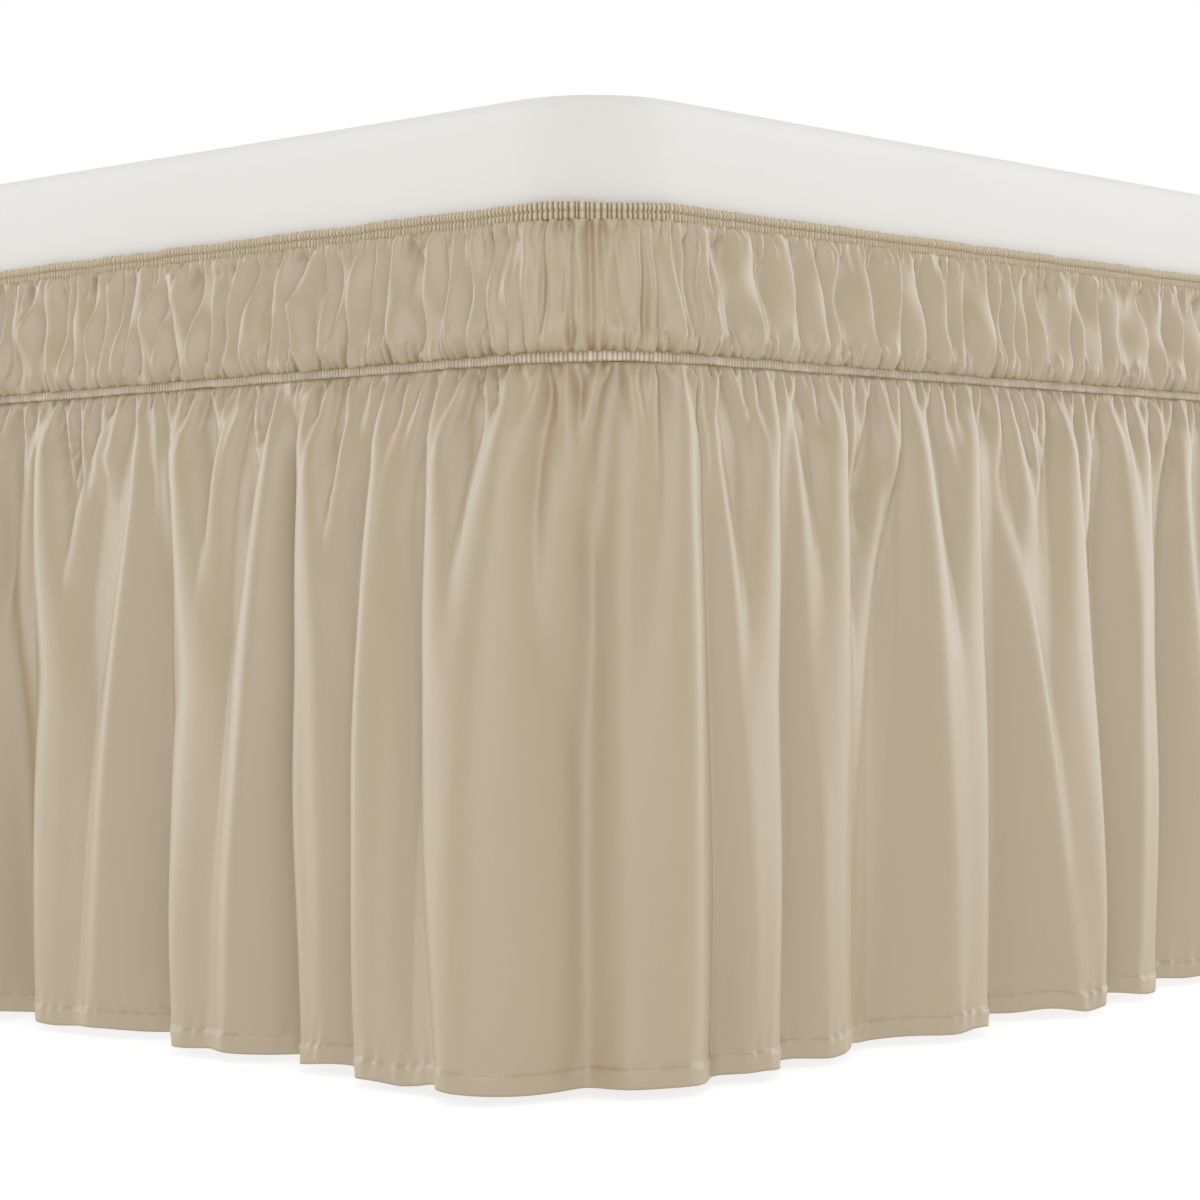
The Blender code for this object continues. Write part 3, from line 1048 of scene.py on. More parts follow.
    def measure_folds(self) -> None:
        """Keep each line down the drop: its place at the hem, its lean and its distance out."""
        folds = [*self.near_folds, *self.turned_folds()]
        lines = []
        for before, fold in zip([folds[-1], *folds[:-1]], folds):
            from_lean, to_lean = fold.from_top - fold.crest_from, fold.to_top - fold.crest_to
            if any(abs(fold.valley_at - seam) < self.seam_flat for seam in self.rim.seams):
                lines += [(fold.valley_at + side * self.seam_flat, 0.0, self.seam_out)
                          for side in (-1, 1)]
            else:
                lean = (before.to_top - before.crest_to + from_lean) / 2
                lines.append((fold.valley_at, lean, fold.valley_out))
            dip = min(self.deepest_trough, self.trough * (fold.crest_to - fold.crest_from))
            lines += [(fold.crest_from, from_lean, fold.crest_out),
                      (mix(fold.crest_from, fold.crest_to, 0.5), (from_lean + to_lean) / 2,
                       fold.crest_out - dip),
                      (fold.crest_to, to_lean, fold.crest_out)]
        self.line_at, self.line_lean, self.line_out = (np.array(column) for column in zip(*lines))
        count = round(self.rim.half_turn / self.outline_step)
        self.chart = np.arange(count) * self.rim.half_turn / count

    def outline(self, part: float) -> np.ndarray:
        """Return the main folds' distance out by millimetre of rim, at a part of the fall.

        Args:
            part: 0 at the tape and 1 at the hem.

        Returns:
            The row, with its crests rounded.
        """
        period = self.rim.half_turn
        at = np.maximum.accumulate(self.line_at + self.line_lean * (1 - part)) % period
        order = at.argsort()
        row = np.interp(self.chart, at[order], self.line_out[order], period=period)
        steps = np.arange(len(row))
        offsets = np.minimum(steps, len(row) - steps) * self.outline_step
        bell = np.exp(-0.5 * (offsets / mix(self.shoulder_top, self.shoulder_low, part)) ** 2)
        return np.real(np.fft.ifft(np.fft.fft(row) * np.fft.fft(bell / bell.sum())))

    def near_crests(self) -> Crests:
        """Return the ridges of the near folds as crest lines."""
        columns = [np.array(column) for column in zip(*self.ridges)]

        def at(distance: float) -> np.ndarray:
            return np.array([np.interp(distance, self.ridge_levels, line)
                             for line in zip(*columns[:4])])

        return Crests(self.rim, at, *columns[4:], self.shoulders.full_at, self.shoulders.at_edge)

    def side_crests(self) -> Crests:
        """Return the two shoulders of each turned-away fold as crest lines."""
        folds = self.turned_folds()
        low = np.array([at for fold in folds for at in (fold.crest_from, fold.crest_to)])
        high = np.array([at for fold in folds for at in (fold.from_top, fold.to_top)])
        style = self.shoulders
        return Crests(self.rim, lambda distance: mix(high, low, min(distance / self.fall, 1.0)),
                      *style.draw_sizes(random.Random(47), len(low)), style.full_at, style.at_edge)

    def row(self, columns: np.ndarray, fallen: float) -> tuple[np.ndarray, ...]:
        """Return X, Y and Z of one row of points, at a distance below the tape's lower edge."""
        if fallen < 0:
            return self.tucked_row(columns, self.top - fallen)
        part = fallen / self.fall
        up = self.fall - fallen
        main = np.interp(columns % self.rim.half_turn, self.chart, self.outline(part),
                         period=self.rim.half_turn)
        flared = part ** self.flare * (1 - math.exp(-fallen / self.slow_start))
        out = mix(self.top_out, main, flared)
        relief = pile_up([crests.relief(columns, fallen) for crests in self.crests])
        out += relief * self.edge_share(fallen)
        out += self.ripples.at(columns, fallen) * self.uneven * ease(fallen / self.uneven_from)
        for dent in self.dents:
            beside = self.rim.apart(columns, np.full_like(columns, dent.at))
            out -= dent.depth * np.exp(-(beside / dent.across) ** 2
                                       - ((fallen - dent.fallen) / dent.down) ** 2)
        above_stitches = up - self.stitch_line
        out += self.hem_step * (1 - ease((above_stitches / self.stitch_reach + 1) / 2))
        puckered = np.exp(-(above_stitches / self.pucker_reach) ** 2)
        out += self.pucker.at(columns, up) * self.pucker_size * puckered
        from_seam = self.rim.apart(columns[:, None], np.array(self.rim.seams)[None, :])
        out -= self.seam_sunk * np.exp(-(from_seam / self.seam_width) ** 2).sum(axis=1)
        moved = self.wander.at(columns, fallen) * self.wandering * ease(fallen / self.wander_from)
        x, y = self.rim.plan(columns + moved, np.maximum(out, self.tucked_out))
        lift = self.wander.at(columns * self.hem_waves, 0.0) * self.hem_rise * part
        return x, y, self.top - fallen + lift + self.lip * ease(1 - fallen / self.lip_reach)


# ---------------------------------------------------------------- the upper band


class Pleat(NamedTuple):
    """A crest of the band: where it is at the tape, midway and at the top, and its broad flank."""

    low_at: float
    mid_at: float
    top_at: float
    height: float
    broad: float


@dataclass(kw_only=True)
class Band(Widths):
    """The puffed band between the two elastics, in four widths."""

    low: float
    high: float
    name: str = "band"
    held: str = "stretched"
    fullness: float = 1.6
    puff: float = 1.1
    seen_step: float = 0.0010
    hidden_step: float = 0.0030
    row_steps: tuple[float, float, float] = (0.0006, 0.0040, 0.0006)
    low_edge_out: float = 0.0050
    high_edge_out: float = 0.0036
    edge_reach: float = 0.006
    edge_stand: float = 0.65
    swell: float = 0.0045
    sag: float = 0.06
    sag_power: float = 0.85
    corner_swell: float = 0.0030
    corner_width: float = 0.060
    roundness: float = 1.5
    low_overhang: float = 1.0
    top_overhang: float = 0.35
    overhang: float = 0.70
    uneven: float = 0.0020
    seed: int = 61
    pitch: Span = (0.011, 0.019)
    height: Span = (0.0050, 0.0078)
    broad: Span = (0.008, 0.015)
    steep: float = 0.0028
    stray: float = 0.0030
    top_lean: float = 0.5
    low_lean: float = 0.15
    least_stand: float = 0.86
    fullest_part: Span = (0.5, 0.9)
    kink: float = 0.0004
    kink_part: Span = (0.3, 0.75)
    kink_reach: float = 0.28
    creased: float = 0.060
    pleats: tuple[Pleat, ...] = (
        Pleat(-0.418, -0.417, -0.415, 0.0060, 0.011),
        Pleat(-0.410, -0.408, -0.405, 0.0050, 0.010),
        Pleat(-0.401, -0.399, -0.384, 0.0070, 0.014),
        Pleat(-0.375, -0.379, -0.376, 0.0060, 0.012),
        Pleat(-0.366, -0.362, -0.358, 0.0050, 0.010),
        Pleat(-0.354, -0.353, -0.352, 0.0060, 0.011),
        Pleat(-0.344, -0.340, -0.330, 0.0060, 0.012),
        Pleat(-0.332, -0.329, -0.318, 0.0060, 0.011),
        Pleat(-0.321, -0.315, -0.313, 0.0050, 0.010),
        Pleat(-0.309, -0.307, -0.300, 0.0060, 0.012),
        Pleat(-0.299, -0.296, -0.282, 0.0070, 0.013),
        Pleat(-0.285, -0.282, -0.262, 0.0060, 0.012),
        Pleat(-0.265, -0.272, -0.278, 0.0060, 0.012),
        Pleat(-0.259, -0.255, -0.247, 0.0060, 0.012),
        Pleat(-0.247, -0.240, -0.242, 0.0050, 0.010),
        Pleat(-0.229, -0.230, -0.217, 0.0070, 0.014),
        Pleat(-0.219, -0.217, -0.204, 0.0060, 0.011),
        Pleat(-0.198, -0.196, -0.184, 0.0060, 0.012),
        Pleat(-0.175, -0.183, -0.161, 0.0080, 0.014),
        Pleat(-0.158, -0.158, -0.156, 0.0060, 0.011),
        Pleat(-0.151, -0.148, -0.146, 0.0050, 0.009),
        Pleat(-0.142, -0.139, -0.132, 0.0070, 0.013),
        Pleat(-0.126, -0.125, -0.120, 0.0050, 0.010),
        Pleat(-0.107, -0.114, -0.108, 0.0070, 0.012),
        Pleat(-0.089, -0.088, -0.084, 0.0060, 0.012),
        Pleat(-0.071, -0.072, -0.071, 0.0060, 0.012),
        Pleat(-0.059, -0.055, -0.056, 0.0060, 0.009),
        Pleat(-0.041, -0.046, -0.042, 0.0050, 0.007),
        Pleat(-0.036, -0.036, -0.035, 0.0038, 0.006),
        Pleat(-0.028, -0.029, -0.027, 0.0044, 0.007),
        Pleat(-0.019, -0.019, -0.018, 0.0046, 0.009),
        Pleat(-0.007, -0.008, -0.008, 0.0038, 0.007),
        Pleat(0.000, 0.000, 0.000, 0.0026, 0.005),
        Pleat(0.007, 0.007, 0.006, 0.0026, 0.005),
        Pleat(0.016, 0.016, 0.015, 0.0044, 0.010),
        Pleat(0.023, 0.022, 0.021, 0.0030, 0.004),
        Pleat(0.036, 0.032, 0.029, 0.0052, 0.009),
        Pleat(0.055, 0.053, 0.050, 0.0062, 0.011),
        Pleat(0.068, 0.061, 0.054, 0.0040, 0.008),
        Pleat(0.090, 0.087, 0.083, 0.0070, 0.018),
        Pleat(0.097, 0.094, 0.090, 0.0030, 0.006),
        Pleat(0.119, 0.116, 0.111, 0.0070, 0.018),
        Pleat(0.140, 0.138, 0.133, 0.0070, 0.016),
        Pleat(0.154, 0.150, 0.150, 0.0060, 0.012),
        Pleat(0.183, 0.175, 0.175, 0.0080, 0.018),
        Pleat(0.199, 0.202, 0.202, 0.0080, 0.018),
        Pleat(0.223, 0.222, 0.216, 0.0070, 0.015),
        Pleat(0.244, 0.243, 0.239, 0.0070, 0.014),
        Pleat(0.261, 0.260, 0.260, 0.0060, 0.013),
        Pleat(0.284, 0.283, 0.282, 0.0080, 0.018),
        Pleat(0.297, 0.296, 0.296, 0.0050, 0.010),
        Pleat(0.308, 0.308, 0.306, 0.0050, 0.009),
        Pleat(0.319, 0.319, 0.318, 0.0050, 0.009),
        Pleat(0.338, 0.334, 0.332, 0.0060, 0.013),
        Pleat(0.361, 0.362, 0.361, 0.0070, 0.016),
        Pleat(0.374, 0.374, 0.374, 0.0050, 0.011),
        Pleat(0.394, 0.393, 0.391, 0.0060, 0.014),
        Pleat(0.412, 0.411, 0.411, 0.0060, 0.014),
        Pleat(0.446, 0.441, 0.435, 0.0060, 0.018),
        Pleat(0.461, 0.462, 0.459, 0.0050, 0.013),
        Pleat(0.482, 0.481, 0.478, 0.0060, 0.013),
        Pleat(0.504, 0.502, 0.494, 0.0060, 0.014),
    )
    gathers: GatherStyle = GatherStyle(
        pitch=(0.0050, 0.0080), reach=(0.007, 0.020), height=(0.0034, 0.0050),
        steep=(0.0020, 0.0028), broad=(0.0024, 0.0036), full_at=0.003, at_edge=0.80, converge=0.4)
    creases: GatherStyle = GatherStyle(
        pitch=(0.0040, 0.0066), reach=(0.060, 0.130), height=(0.0018, 0.0030),
        steep=(0.0016, 0.0024), broad=(0.0022, 0.0036), full_at=0.003, at_edge=0.80, converge=0.1)
    tucks: GatherStyle = GatherStyle(
        pitch=(0.0034, 0.0056), reach=(0.005, 0.012), height=(0.0032, 0.0046),
        steep=(0.0015, 0.0020), broad=(0.0018, 0.0026), full_at=0.0010, at_edge=0.90, converge=0.5)

    def __post_init__(self) -> None:
        """Set the rows, and draw the crests of half the rim and the gathers at both elastics."""
        self.tall = self.high - self.low
        self.flat_height = self.tall * self.puff
        between = graded(self.first_row, self.tall - self.first_row, *self.row_steps)
        self.levels = np.array([-self.tucked, -self.edge_row, *between,
                                self.tall + self.edge_row, self.tall + self.tucked])
        self.chart_up = self.levels
        draw = random.Random(self.seed)
        start = self.pleats[-1].mid_at + self.pitch[0]
        end = self.rim.half_turn + self.pleats[0].mid_at - self.pitch[0]
        drawn = [Pleat(at + draw.gauss(0, self.stray), at, at + draw.gauss(0, self.stray),
                       draw.uniform(*self.height), draw.uniform(*self.broad))
                 for at in spread(start, end, self.pitch, draw)]
        crests = [*self.pleats, *drawn]
        self.low_at, self.mid_at, self.top_at, self.heights, broad = (
            np.array(column) for column in zip(*crests))
        past = self.rim.past_corner(self.mid_at)
        self.top_at = self.top_at + past * self.swell * self.top_lean
        self.low_at = self.low_at - past * self.swell * self.low_lean
        self.left = np.where(past > 0, broad, self.steep)
        self.right = np.where(past > 0, self.steep, broad)
        self.fullest = np.array([draw.uniform(*self.fullest_part) for _ in crests])
        self.kinks = np.array([draw.gauss(0, self.kink) for _ in crests])
        self.kink_at = np.array([draw.uniform(*self.kink_part) for _ in crests])

        def from_tape(distance: float) -> np.ndarray:
            return self.crests_at(distance / self.tall)

        lower = self.gathers.draw(self.rim, from_tape, seed=62)
        upper = self.gathers.draw(self.rim, lambda d: self.crests_at(1 - d / self.tall), seed=63)
        folded = self.creases.draw(self.rim, from_tape, seed=67,
                                   bare=(self.creased, self.rim.half_turn - self.creased))
        self.rising = (folded, lower, self.tucks.draw(self.rim, lower.at, seed=64))
        self.falling = (upper, self.tucks.draw(self.rim, upper.at, seed=65))
        self.ripples = Ripples(66, self.rim.around, along=(0.024, 0.060), up=(0.03, 0.09))

    def crests_at(self, part: float) -> np.ndarray:
        """Return where the crests are at a part of the band's height."""
        lower = mix(self.low_at, self.mid_at, np.clip(part * 2, 0, 1))
        at = lower + (self.top_at - self.mid_at) * np.clip(part * 2 - 1, 0, 1)
        return at + self.kinks * np.clip(1 - np.abs(part - self.kink_at) / self.kink_reach, 0, 1)

    def row(self, columns: np.ndarray, up: float) -> tuple[np.ndarray, ...]:
        """Return X, Y and Z of one row of points, at a height above the tape."""
        down = self.tall - up
        if min(up, down) < 0:
            return self.tucked_row(columns, self.low + up)
        part = up / self.tall
        edge = self.edge_share(up) * self.edge_share(down)
        fill = ease(up / self.edge_reach) * ease(down / self.edge_reach)
        stand = self.heights * mix(self.least_stand, 1.0, ease((1 - part) / self.fullest))
        stand = stand * mix(self.edge_stand, 1.0, fill)
        apart = self.rim.apart(columns[:, None], self.crests_at(part)[None, :])
        relief = edge * pile_up([crest_row(apart, stand, self.left, self.right, self.roundness),
                                 *(crests.relief(columns, up) for crests in self.rising),
                                 *(crests.relief(columns, down) for crests in self.falling)])
        from_corner = self.rim.apart(columns, np.zeros_like(columns))
        swell = self.swell + self.corner_swell * np.exp(-(from_corner / self.corner_width) ** 2)
        bulge = (1 - part) ** self.sag_power * (1 - math.exp(-part / self.sag))
        out = mix(self.tucked_out, mix(self.low_edge_out, self.high_edge_out, part), edge)
        out = out + swell * bulge + relief + self.ripples.at(columns, up) * self.uneven * fill
        x, y = self.rim.plan(columns, np.maximum(out, self.tucked_out))
        over = (self.top_overhang * ease(1 - down / self.edge_reach)
                - self.low_overhang * ease(1 - up / self.edge_reach))
        return x, y, self.low + up + (self.overhang * relief + self.lip) * over


# ---------------------------------------------------------------- elastics


class SectionPoint(NamedTuple):
    """A point of an elastic's cross-section, and how much it takes of the ribs and of the frill."""

    out: float
    up: float
    ribbed: float
    frill: float = 0.0


@dataclass
class Elastic:
    """A closed ring of ribbed elastic, lying against the side of the base."""

    name: str
    node: str
    rim: Rim
    section: tuple[SectionPoint, ...]
    bottom: float
    pitch: float
    depth: float
    seed: int
    frill: float = 0.0
    uneven: float = 0.18
    seen: Span = SEEN
    seen_cuts: int = 4
    hidden_cuts: int = 2
    slack_out: float = 0.00018
    slack_up: float = 0.0003
    weld: float = 0.00001

    def columns(self) -> tuple[np.ndarray, np.ndarray, np.ndarray]:
        """Return the places of the columns, how far up its rib each is, and its share of frill."""
        draw = random.Random(self.seed)
        whole = self.rim.around
        count = round(whole / self.pitch)
        edges = (np.arange(count) + np.array([draw.uniform(-self.uneven, self.uneven)
                                              for _ in range(count)])) * whole / count
        places, rise, frill = [], [], []
        for edge, following in zip(edges, [*edges[1:], edges[0] + whole]):
            shows = self.seen[0] < self.rim.from_corner(edge) < self.seen[1]
            cuts = self.seen_cuts if shows else self.hidden_cuts
            hang = draw.random()
            for cut in range(cuts):
                places.append(mix(edge, following, cut / cuts))
                rise.append(math.sin(math.pi * cut / cuts))
                frill.append(hang * rise[-1])
        return (np.array([*places, places[0] + whole]), np.array([*rise, rise[0]]),
                np.array([*frill, frill[0]]))

    def build(self, material: bpy.types.Material, slot: str) -> None:
        """Build the ring as a net that is closed both ways."""
        columns, rise, frill = self.columns()
        loop = [*self.section, self.section[0]]
        ripples = Ripples(self.seed + 1, self.rim.around, along=(0.02, 0.09), up=(1.0, 2.0))
        slack = ripples.at(columns, 0.0)
        rows = []
        for point in loop:
            out = point.out + point.ribbed * (self.depth * (rise - 1) + slack * self.slack_out)
            x, y = self.rim.plan(columns, np.maximum(out, self.rim.gap))
            hang = point.frill * frill * self.frill
            rows.append((x, y, self.bottom + point.up + slack * self.slack_up - hang))
        x, y, z = (np.array(part) for part in zip(*rows))
        up = np.broadcast_to(np.array([point.up for point in loop])[:, None], x.shape)
        piece = place_grid(self.name, x, y, z, np.broadcast_to(columns, x.shape), up)
        # The rib attribute is the mask for the painted shade between the ribs.
        ribs = self.rib_shade_values(piece, columns, rise)
        piece.data.attributes.new("rib", "FLOAT", "POINT").data.foreach_set("value", ribs)
        bpy.ops.object.mode_set(mode="EDIT")
        bpy.ops.mesh.select_all(action="SELECT")
        bpy.ops.mesh.remove_doubles(threshold=self.weld)
        bpy.ops.object.mode_set(mode="OBJECT")
        piece.data.shade_smooth()
        dress(piece, material, slot, self.node)

    def rib_shade_values(self, piece: bpy.types.Object, columns: np.ndarray,
                   rise: np.ndarray) -> np.ndarray:
        """Return how far up its rib each point of the net is, which the finish reads to paint shade
        in the grooves.
        """
        chart = np.zeros(len(piece.data.loops) * 2)
        piece.data.uv_layers[0].data.foreach_get("uv", chart)
        corners = np.zeros(len(piece.data.loops), dtype=int)
        piece.data.loops.foreach_get("vertex_index", corners)
        values = np.zeros(len(piece.data.vertices))
        values[corners] = np.interp(chart.reshape(-1, 2)[:, 0], columns, rise)
        return values


def tape_section(height: float, thickness: float, back: float) -> tuple[SectionPoint, ...]:
    """Return the section of the middle tape: a ribbed face that rounds back at both edges."""
    return (SectionPoint(back, 0.0, 0.0),
            SectionPoint(thickness * 0.76, 0.0, 0.5),
            SectionPoint(thickness * 0.94, height * 0.08, 0.9),
            SectionPoint(thickness, height * 0.24, 1.0),
            SectionPoint(thickness, height * 0.76, 1.0),
            SectionPoint(thickness * 0.94, height * 0.92, 0.9),
            SectionPoint(thickness * 0.76, height, 0.5),
            SectionPoint(back, height, 0.0))


def casing_section(height: float, thickness: float, back: float,
                   lapped: float) -> tuple[SectionPoint, ...]:
    """Return the section of the top elastic: a thick edge, a stitched line, a row and a frill."""
    return (SectionPoint(lapped, 0.0, 0.0),
            SectionPoint(thickness * 0.86, -height * 0.05, 0.6, 1.0),
            SectionPoint(thickness * 0.98, height * 0.08, 1.0, 0.4),
            SectionPoint(thickness * 0.96, height * 0.42, 1.0),
            SectionPoint(thickness * 0.74, height * 0.47, 0.4),
            SectionPoint(thickness * 0.74, height * 0.52, 0.4),
            SectionPoint(thickness * 1.00, height * 0.57, 1.0),
            SectionPoint(thickness * 1.04, height * 0.80, 1.0),
            SectionPoint(thickness * 0.80, height * 1.00, 0.8, -0.4),
            SectionPoint(back, height * 0.99, 0.0),
            SectionPoint(back, height * 0.48, 0.0),
            SectionPoint(lapped, height * 0.38, 0.0))


# ---------------------------------------------------------------- base and legs


@dataclass
class BedBase:
    """The white bed base that the skirt is stretched round, on four round legs."""

    rim: Rim
    bottom: float
    top: float
    corner_steps: int = 14
    top_edge: float = 0.014
    top_edge_steps: int = 5
    bottom_edge: float = 0.004
    bottom_edge_steps: int = 2
    net: float = 0.045
    side_net: int = 4
    shown: float = 0.065
    puff: float = 0.0012
    puff_from: float = 0.048
    puff_rise: float = 0.03
    puff_least: float = 0.4
    slant: float = 0.7
    squareness: int = 15
    smooth_angle: float = math.radians(50)
    level_within: float = 0.0001
    legs: tuple[str, ...] = ("leg_foot_right", "leg_foot_left", "leg_head_right", "leg_head_left")

    def select_edges(self, piece: bpy.types.Object,
                     chosen: Callable[[Vector, Vector], bool]) -> None:
        """Select the edges, in edit mode, whose two ends pass a test."""
        net = bmesh.from_edit_mesh(piece.data)
        for item in (*net.verts, *net.edges, *net.faces):
            item.select_set(False)
        for edge in net.edges:
            if chosen(edge.verts[0].co, edge.verts[1].co):
                edge.select_set(True)
        bmesh.update_edit_mesh(piece.data)

    def cut(self, axis: int, places: np.ndarray) -> None:
        """Cut the whole mesh, in edit mode, by planes square to an axis."""
        for place in places:
            point, normal = [0.0, 0.0, 0.0], [0.0, 0.0, 0.0]
            point[axis], normal[axis] = place, 1.0
            bpy.ops.mesh.select_all(action="SELECT")
            bpy.ops.mesh.bisect(plane_co=point, plane_no=normal)

    def build_cover(self, material: bpy.types.Material, slot: str) -> None:
        """Build the covered base from a box with rounded corners and soft rims."""
        deselect_all()
        middle = (self.bottom + self.top) / 2
        bpy.ops.mesh.primitive_cube_add(size=1.0, location=(0.0, 0.0, middle))
        piece = bpy.context.object
        piece.name = piece.data.name = "bed_base_cover"
        tall = self.top - self.bottom
        bpy.ops.object.mode_set(mode="EDIT")
        bpy.ops.transform.resize(value=(2 * self.rim.half_width, 2 * self.rim.half_length, tall))
        bpy.ops.object.mode_set(mode="OBJECT")
        bpy.ops.object.transform_apply(location=True, rotation=True, scale=True)
        bpy.ops.object.mode_set(mode="EDIT")
        self.select_edges(piece, lambda first, second: abs(first.z - second.z) > tall / 2)
        bpy.ops.mesh.bevel(offset=self.rim.corner_radius, segments=self.corner_steps)
        for level, width, steps in ((self.top, self.top_edge, self.top_edge_steps),
                                    (self.bottom, self.bottom_edge, self.bottom_edge_steps)):
            self.select_edges(piece, lambda first, second, level=level:
                              max(abs(first.z - level), abs(second.z - level)) < self.level_within)
            bpy.ops.mesh.bevel(offset=width, segments=steps)
        half_x, half_y = self.rim.runs[1] / 2, self.rim.runs[0] / 2
        self.cut(0, np.linspace(-half_x, half_x, round(2 * half_x / self.net) + 1))
        self.cut(1, np.linspace(-half_y, half_y, round(2 * half_y / self.net) + 1))
        self.cut(2, np.linspace(self.top - self.shown, self.top - self.top_edge, self.side_net))
        bpy.ops.object.mode_set(mode="OBJECT")
        self.soften(piece)
        piece.data.shade_smooth()
        bpy.ops.object.shade_smooth_by_angle(angle=self.smooth_angle)
        dress(piece, material, slot, "bed_base")

    def soften(self, piece: bpy.types.Object) -> None:
        """Let the cover stand a little uneven above the skirt, as stretched cotton does."""
        ripples = Ripples(81, self.rim.around, along=(0.14, 0.50), up=(0.20, 0.60))
        for vertex in piece.data.vertices:
            place = vertex.co
            risen = float(ease((place.z - self.top + self.puff_from) / self.puff_rise))
            along = np.array([place.x + self.slant * place.y])
            wave = float(ripples.at(along, place.y - place.x)[0])
            side = Vector(((place.x / self.rim.half_width) ** self.squareness,
                           (place.y / self.rim.half_length) ** self.squareness, 0.0))
            vertex.co = place + side * (self.puff * risen * mix(self.puff_least, 1.0, wave))

    def dress_legs(self, nodes: dict[str, bpy.types.Object], material: bpy.types.Material) -> None:
        """Give the legs their wood; their shape is the frame's own."""
        for name in self.legs:
            leg = nodes[name]
            leg.data.materials.clear()
            leg.data.materials.append(material)
            LOG.info("%s: kept from the frame", name)


# ---------------------------------------------------------------- studio


@dataclass(frozen=True)
class SoftBox:
    """A square studio light that looks at the near corner of the skirt."""

    name: str
    azimuth: float
    distance: float
    height: float
    size: float
    power: float
    colour: Colour = (1.0, 1.0, 1.0)
    aim: float = 0.25


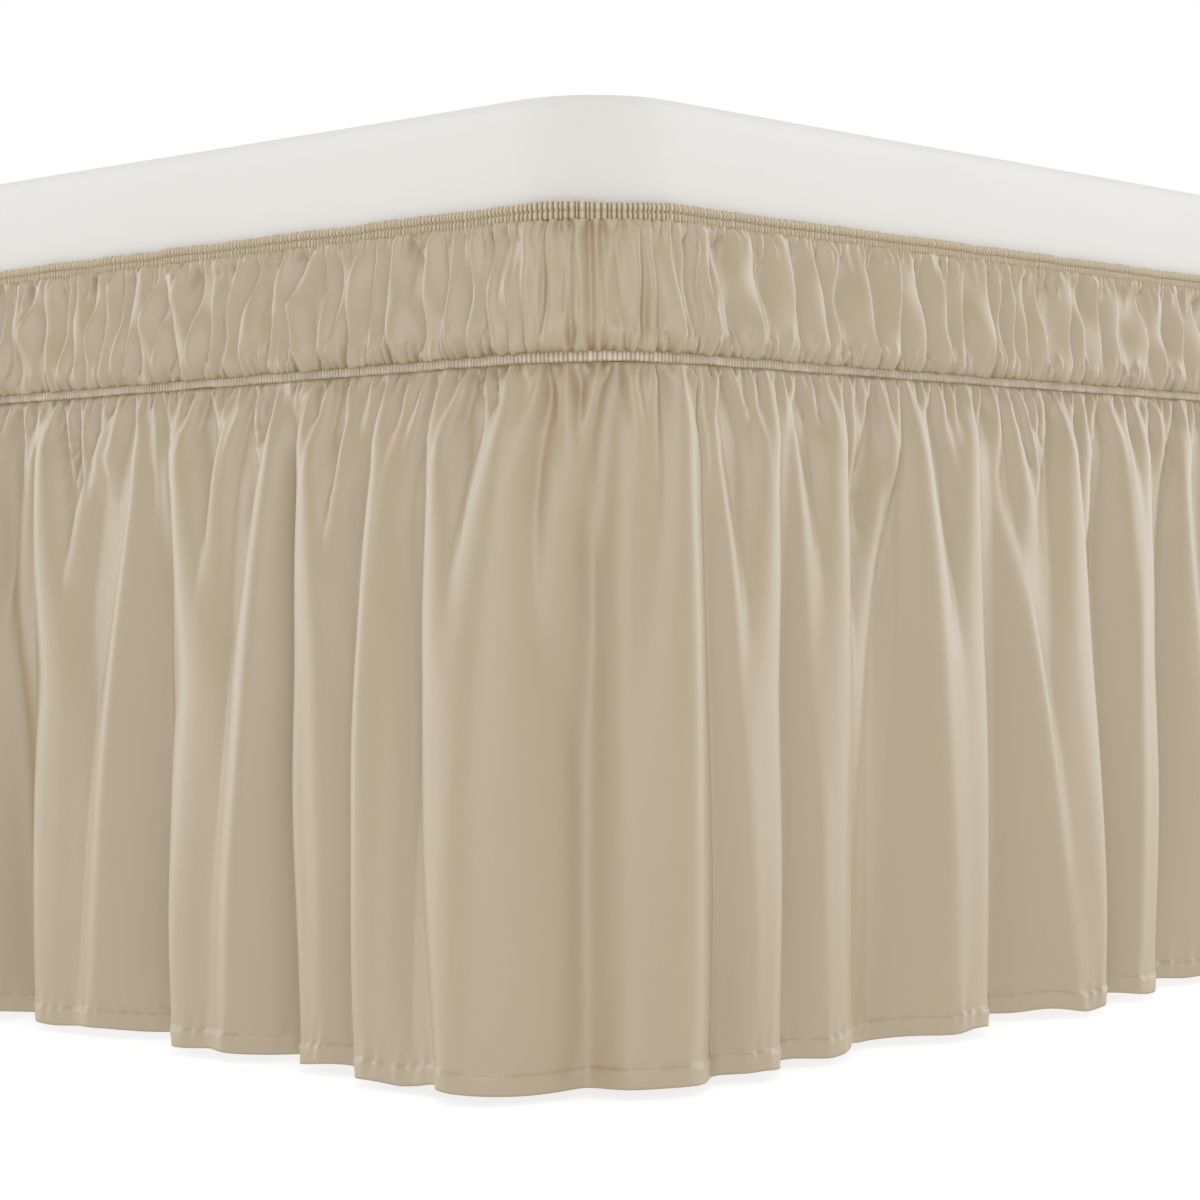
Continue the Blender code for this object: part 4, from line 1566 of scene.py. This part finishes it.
@dataclass
class Studio:
    """The camera where the photograph was taken from, the lights and the floor."""

    corner: Vector
    turn: float = math.radians(41.687)
    distance: float = 1.31187
    aside: float = -0.00117
    height: float = 0.2395
    dip: float = 0.00888
    roll: float = 0.01155
    lens: float = 86.68
    sensor: float = 36.0
    floor_size: float = 8.0
    horizon: float = 1.0
    horizon_top: float = math.radians(15)
    ambient: float = 0.25
    ambient_from: float = math.radians(30)
    boxes: tuple[SoftBox, ...] = (
        SoftBox("left_box", azimuth=-74.0, distance=3.6, height=1.40, size=4.0, power=101.0,
                colour=(0.94, 0.98, 1.05)),
        SoftBox("right_box", azimuth=157.4, distance=3.6, height=1.40, size=4.0, power=101.0,
                colour=(0.94, 0.98, 1.05)),
        SoftBox("front_box", azimuth=41.7, distance=3.6, height=1.90, size=1.8, power=35.0),
        SoftBox("top_box", azimuth=41.7, distance=0.6, height=3.0, size=2.6, power=30.0),
    )

    def build_camera(self) -> None:
        """Set up the camera."""
        data = bpy.data.cameras.new("camera")
        data.lens = self.lens
        data.sensor_width = self.sensor
        camera = bpy.data.objects.new("camera", data)
        bpy.context.scene.collection.objects.link(camera)
        back = Vector((math.sin(self.turn), -math.cos(self.turn), 0.0))
        right = Vector((math.cos(self.turn), math.sin(self.turn), 0.0))
        raised = Vector((0.0, 0.0, self.height))
        place = self.corner + back * self.distance + right * self.aside + raised
        camera.matrix_world = (Matrix.Translation(place) @ Matrix.Rotation(self.turn, 4, "Z")
                               @ Matrix.Rotation(math.pi / 2 - self.dip, 4, "X")
                               @ Matrix.Rotation(-self.roll, 4, "Z"))
        bpy.context.scene.camera = camera
        bpy.context.scene.view_settings.view_transform = "Standard"

    def build_lights(self) -> None:
        """Set up the soft boxes."""
        for box in self.boxes:
            data = bpy.data.lights.new(box.name, "AREA")
            data.size = box.size
            data.energy = box.power
            data.color = box.colour
            light = bpy.data.objects.new(box.name, data)
            bpy.context.scene.collection.objects.link(light)
            angle = math.radians(box.azimuth)
            light.location = self.corner + Vector((math.sin(angle) * box.distance,
                                                   -math.cos(angle) * box.distance, box.height))
            aim = self.corner + Vector((0, 0, box.aim)) - light.location
            light.rotation_euler = aim.to_track_quat("-Z", "Y").to_euler()
            light.visible_camera = False

    def build_world(self) -> None:
        """Set up a soft surround, white about the horizon and dimmer above."""
        world = bpy.data.worlds.new("surround")
        bpy.context.scene.world = world
        world.use_nodes = True
        tree = world.node_tree
        place = tree.nodes.new("ShaderNodeTexCoord")
        parts = tree.nodes.new("ShaderNodeSeparateXYZ")
        ramp = tree.nodes.new("ShaderNodeValToRGB")
        tree.links.new(place.outputs["Generated"], parts.inputs[0])
        tree.links.new(parts.outputs["Z"], ramp.inputs[0])
        levels = ((self.horizon, self.horizon_top), (self.ambient, self.ambient_from))
        for stop, (level, rises) in zip(ramp.color_ramp.elements, levels):
            stop.position = math.sin(rises)
            stop.color = (level, level, level, 1.0)
        background = tree.nodes["Background"]
        tree.links.new(ramp.outputs[0], background.inputs[0])

    def build_floor(self, material: bpy.types.Material) -> None:
        """Lay the floor."""
        deselect_all()
        bpy.ops.mesh.primitive_plane_add(size=self.floor_size, location=(0.0, 0.0, 0.0))
        floor = bpy.context.object
        floor.name = "floor"
        floor.data.materials.append(material)

    def build(self) -> None:
        """Set up the whole studio."""
        self.build_camera()
        self.build_lights()
        self.build_world()
        self.build_floor(StudioPaper().make())


def corners(box: tuple[Vector, Vector]) -> list[list[float]]:
    """Return a box's two corners as plain lists."""
    return [list(corner) for corner in box]


def main() -> None:
    """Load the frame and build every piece."""
    logging.basicConfig(level=logging.INFO, format="%(message)s")
    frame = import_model()

    base_low, base_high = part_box("bed_base")
    rim = Rim(half_width=base_high.x, half_length=base_high.y)
    tape_low, tape_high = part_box("middle_elastic")
    casing_low, casing_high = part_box("top_elastic")

    Studio(corner=Vector((base_high.x, base_low.y, 0.0))).build()

    base = BedBase(rim, bottom=base_low.z, top=base_high.z)
    cotton = CottonCover()
    base.build_cover(cotton.make(), cotton.slot)
    wood = LacqueredWood()
    base.dress_legs(frame["nodes"], wood.make())

    elastic = RibbedElastic()
    tape = Elastic(
        "middle_elastic_tape", "middle_elastic", rim,
        tape_section(height=tape_high.z - tape_low.z - 2 * TAPE_LAP, thickness=0.0050, back=0.0027),
        bottom=tape_low.z + TAPE_LAP, pitch=0.0021, depth=0.0010, seed=71)
    tape.build(elastic.make(), elastic.slot)
    casing = Elastic(
        "top_elastic_casing", "top_elastic", rim,
        casing_section(height=casing_high.z - casing_low.z, thickness=0.0054, back=0.0013,
                       lapped=0.0027),
        bottom=casing_low.z, pitch=0.0023, depth=0.0016, seed=72, frill=0.0020, uneven=0.28)
    # The casing's dark deep colour is painted shade in the grooves between its ribs.
    ruched = RibbedElastic(name="ruched_elastic", pale=(0.680, 0.580, 0.410),
                           deep=(0.150, 0.105, 0.055))
    casing.build(ruched.make(), ruched.slot)

    satin = SatinCloth()
    band = Band(rim=rim, low=tape_high.z - TAPE_LAP + rim.gap, high=casing_low.z - rim.gap)
    band.build(satin.make(hemmed=False), satin.slot, [tape.name, casing.name])
    drop = Drop(rim=rim, top=tape_low.z + TAPE_LAP - rim.gap)
    drop.build(satin.make(hemmed=True), satin.slot, [tape.name])

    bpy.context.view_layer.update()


if __name__ == "__main__":
    main()
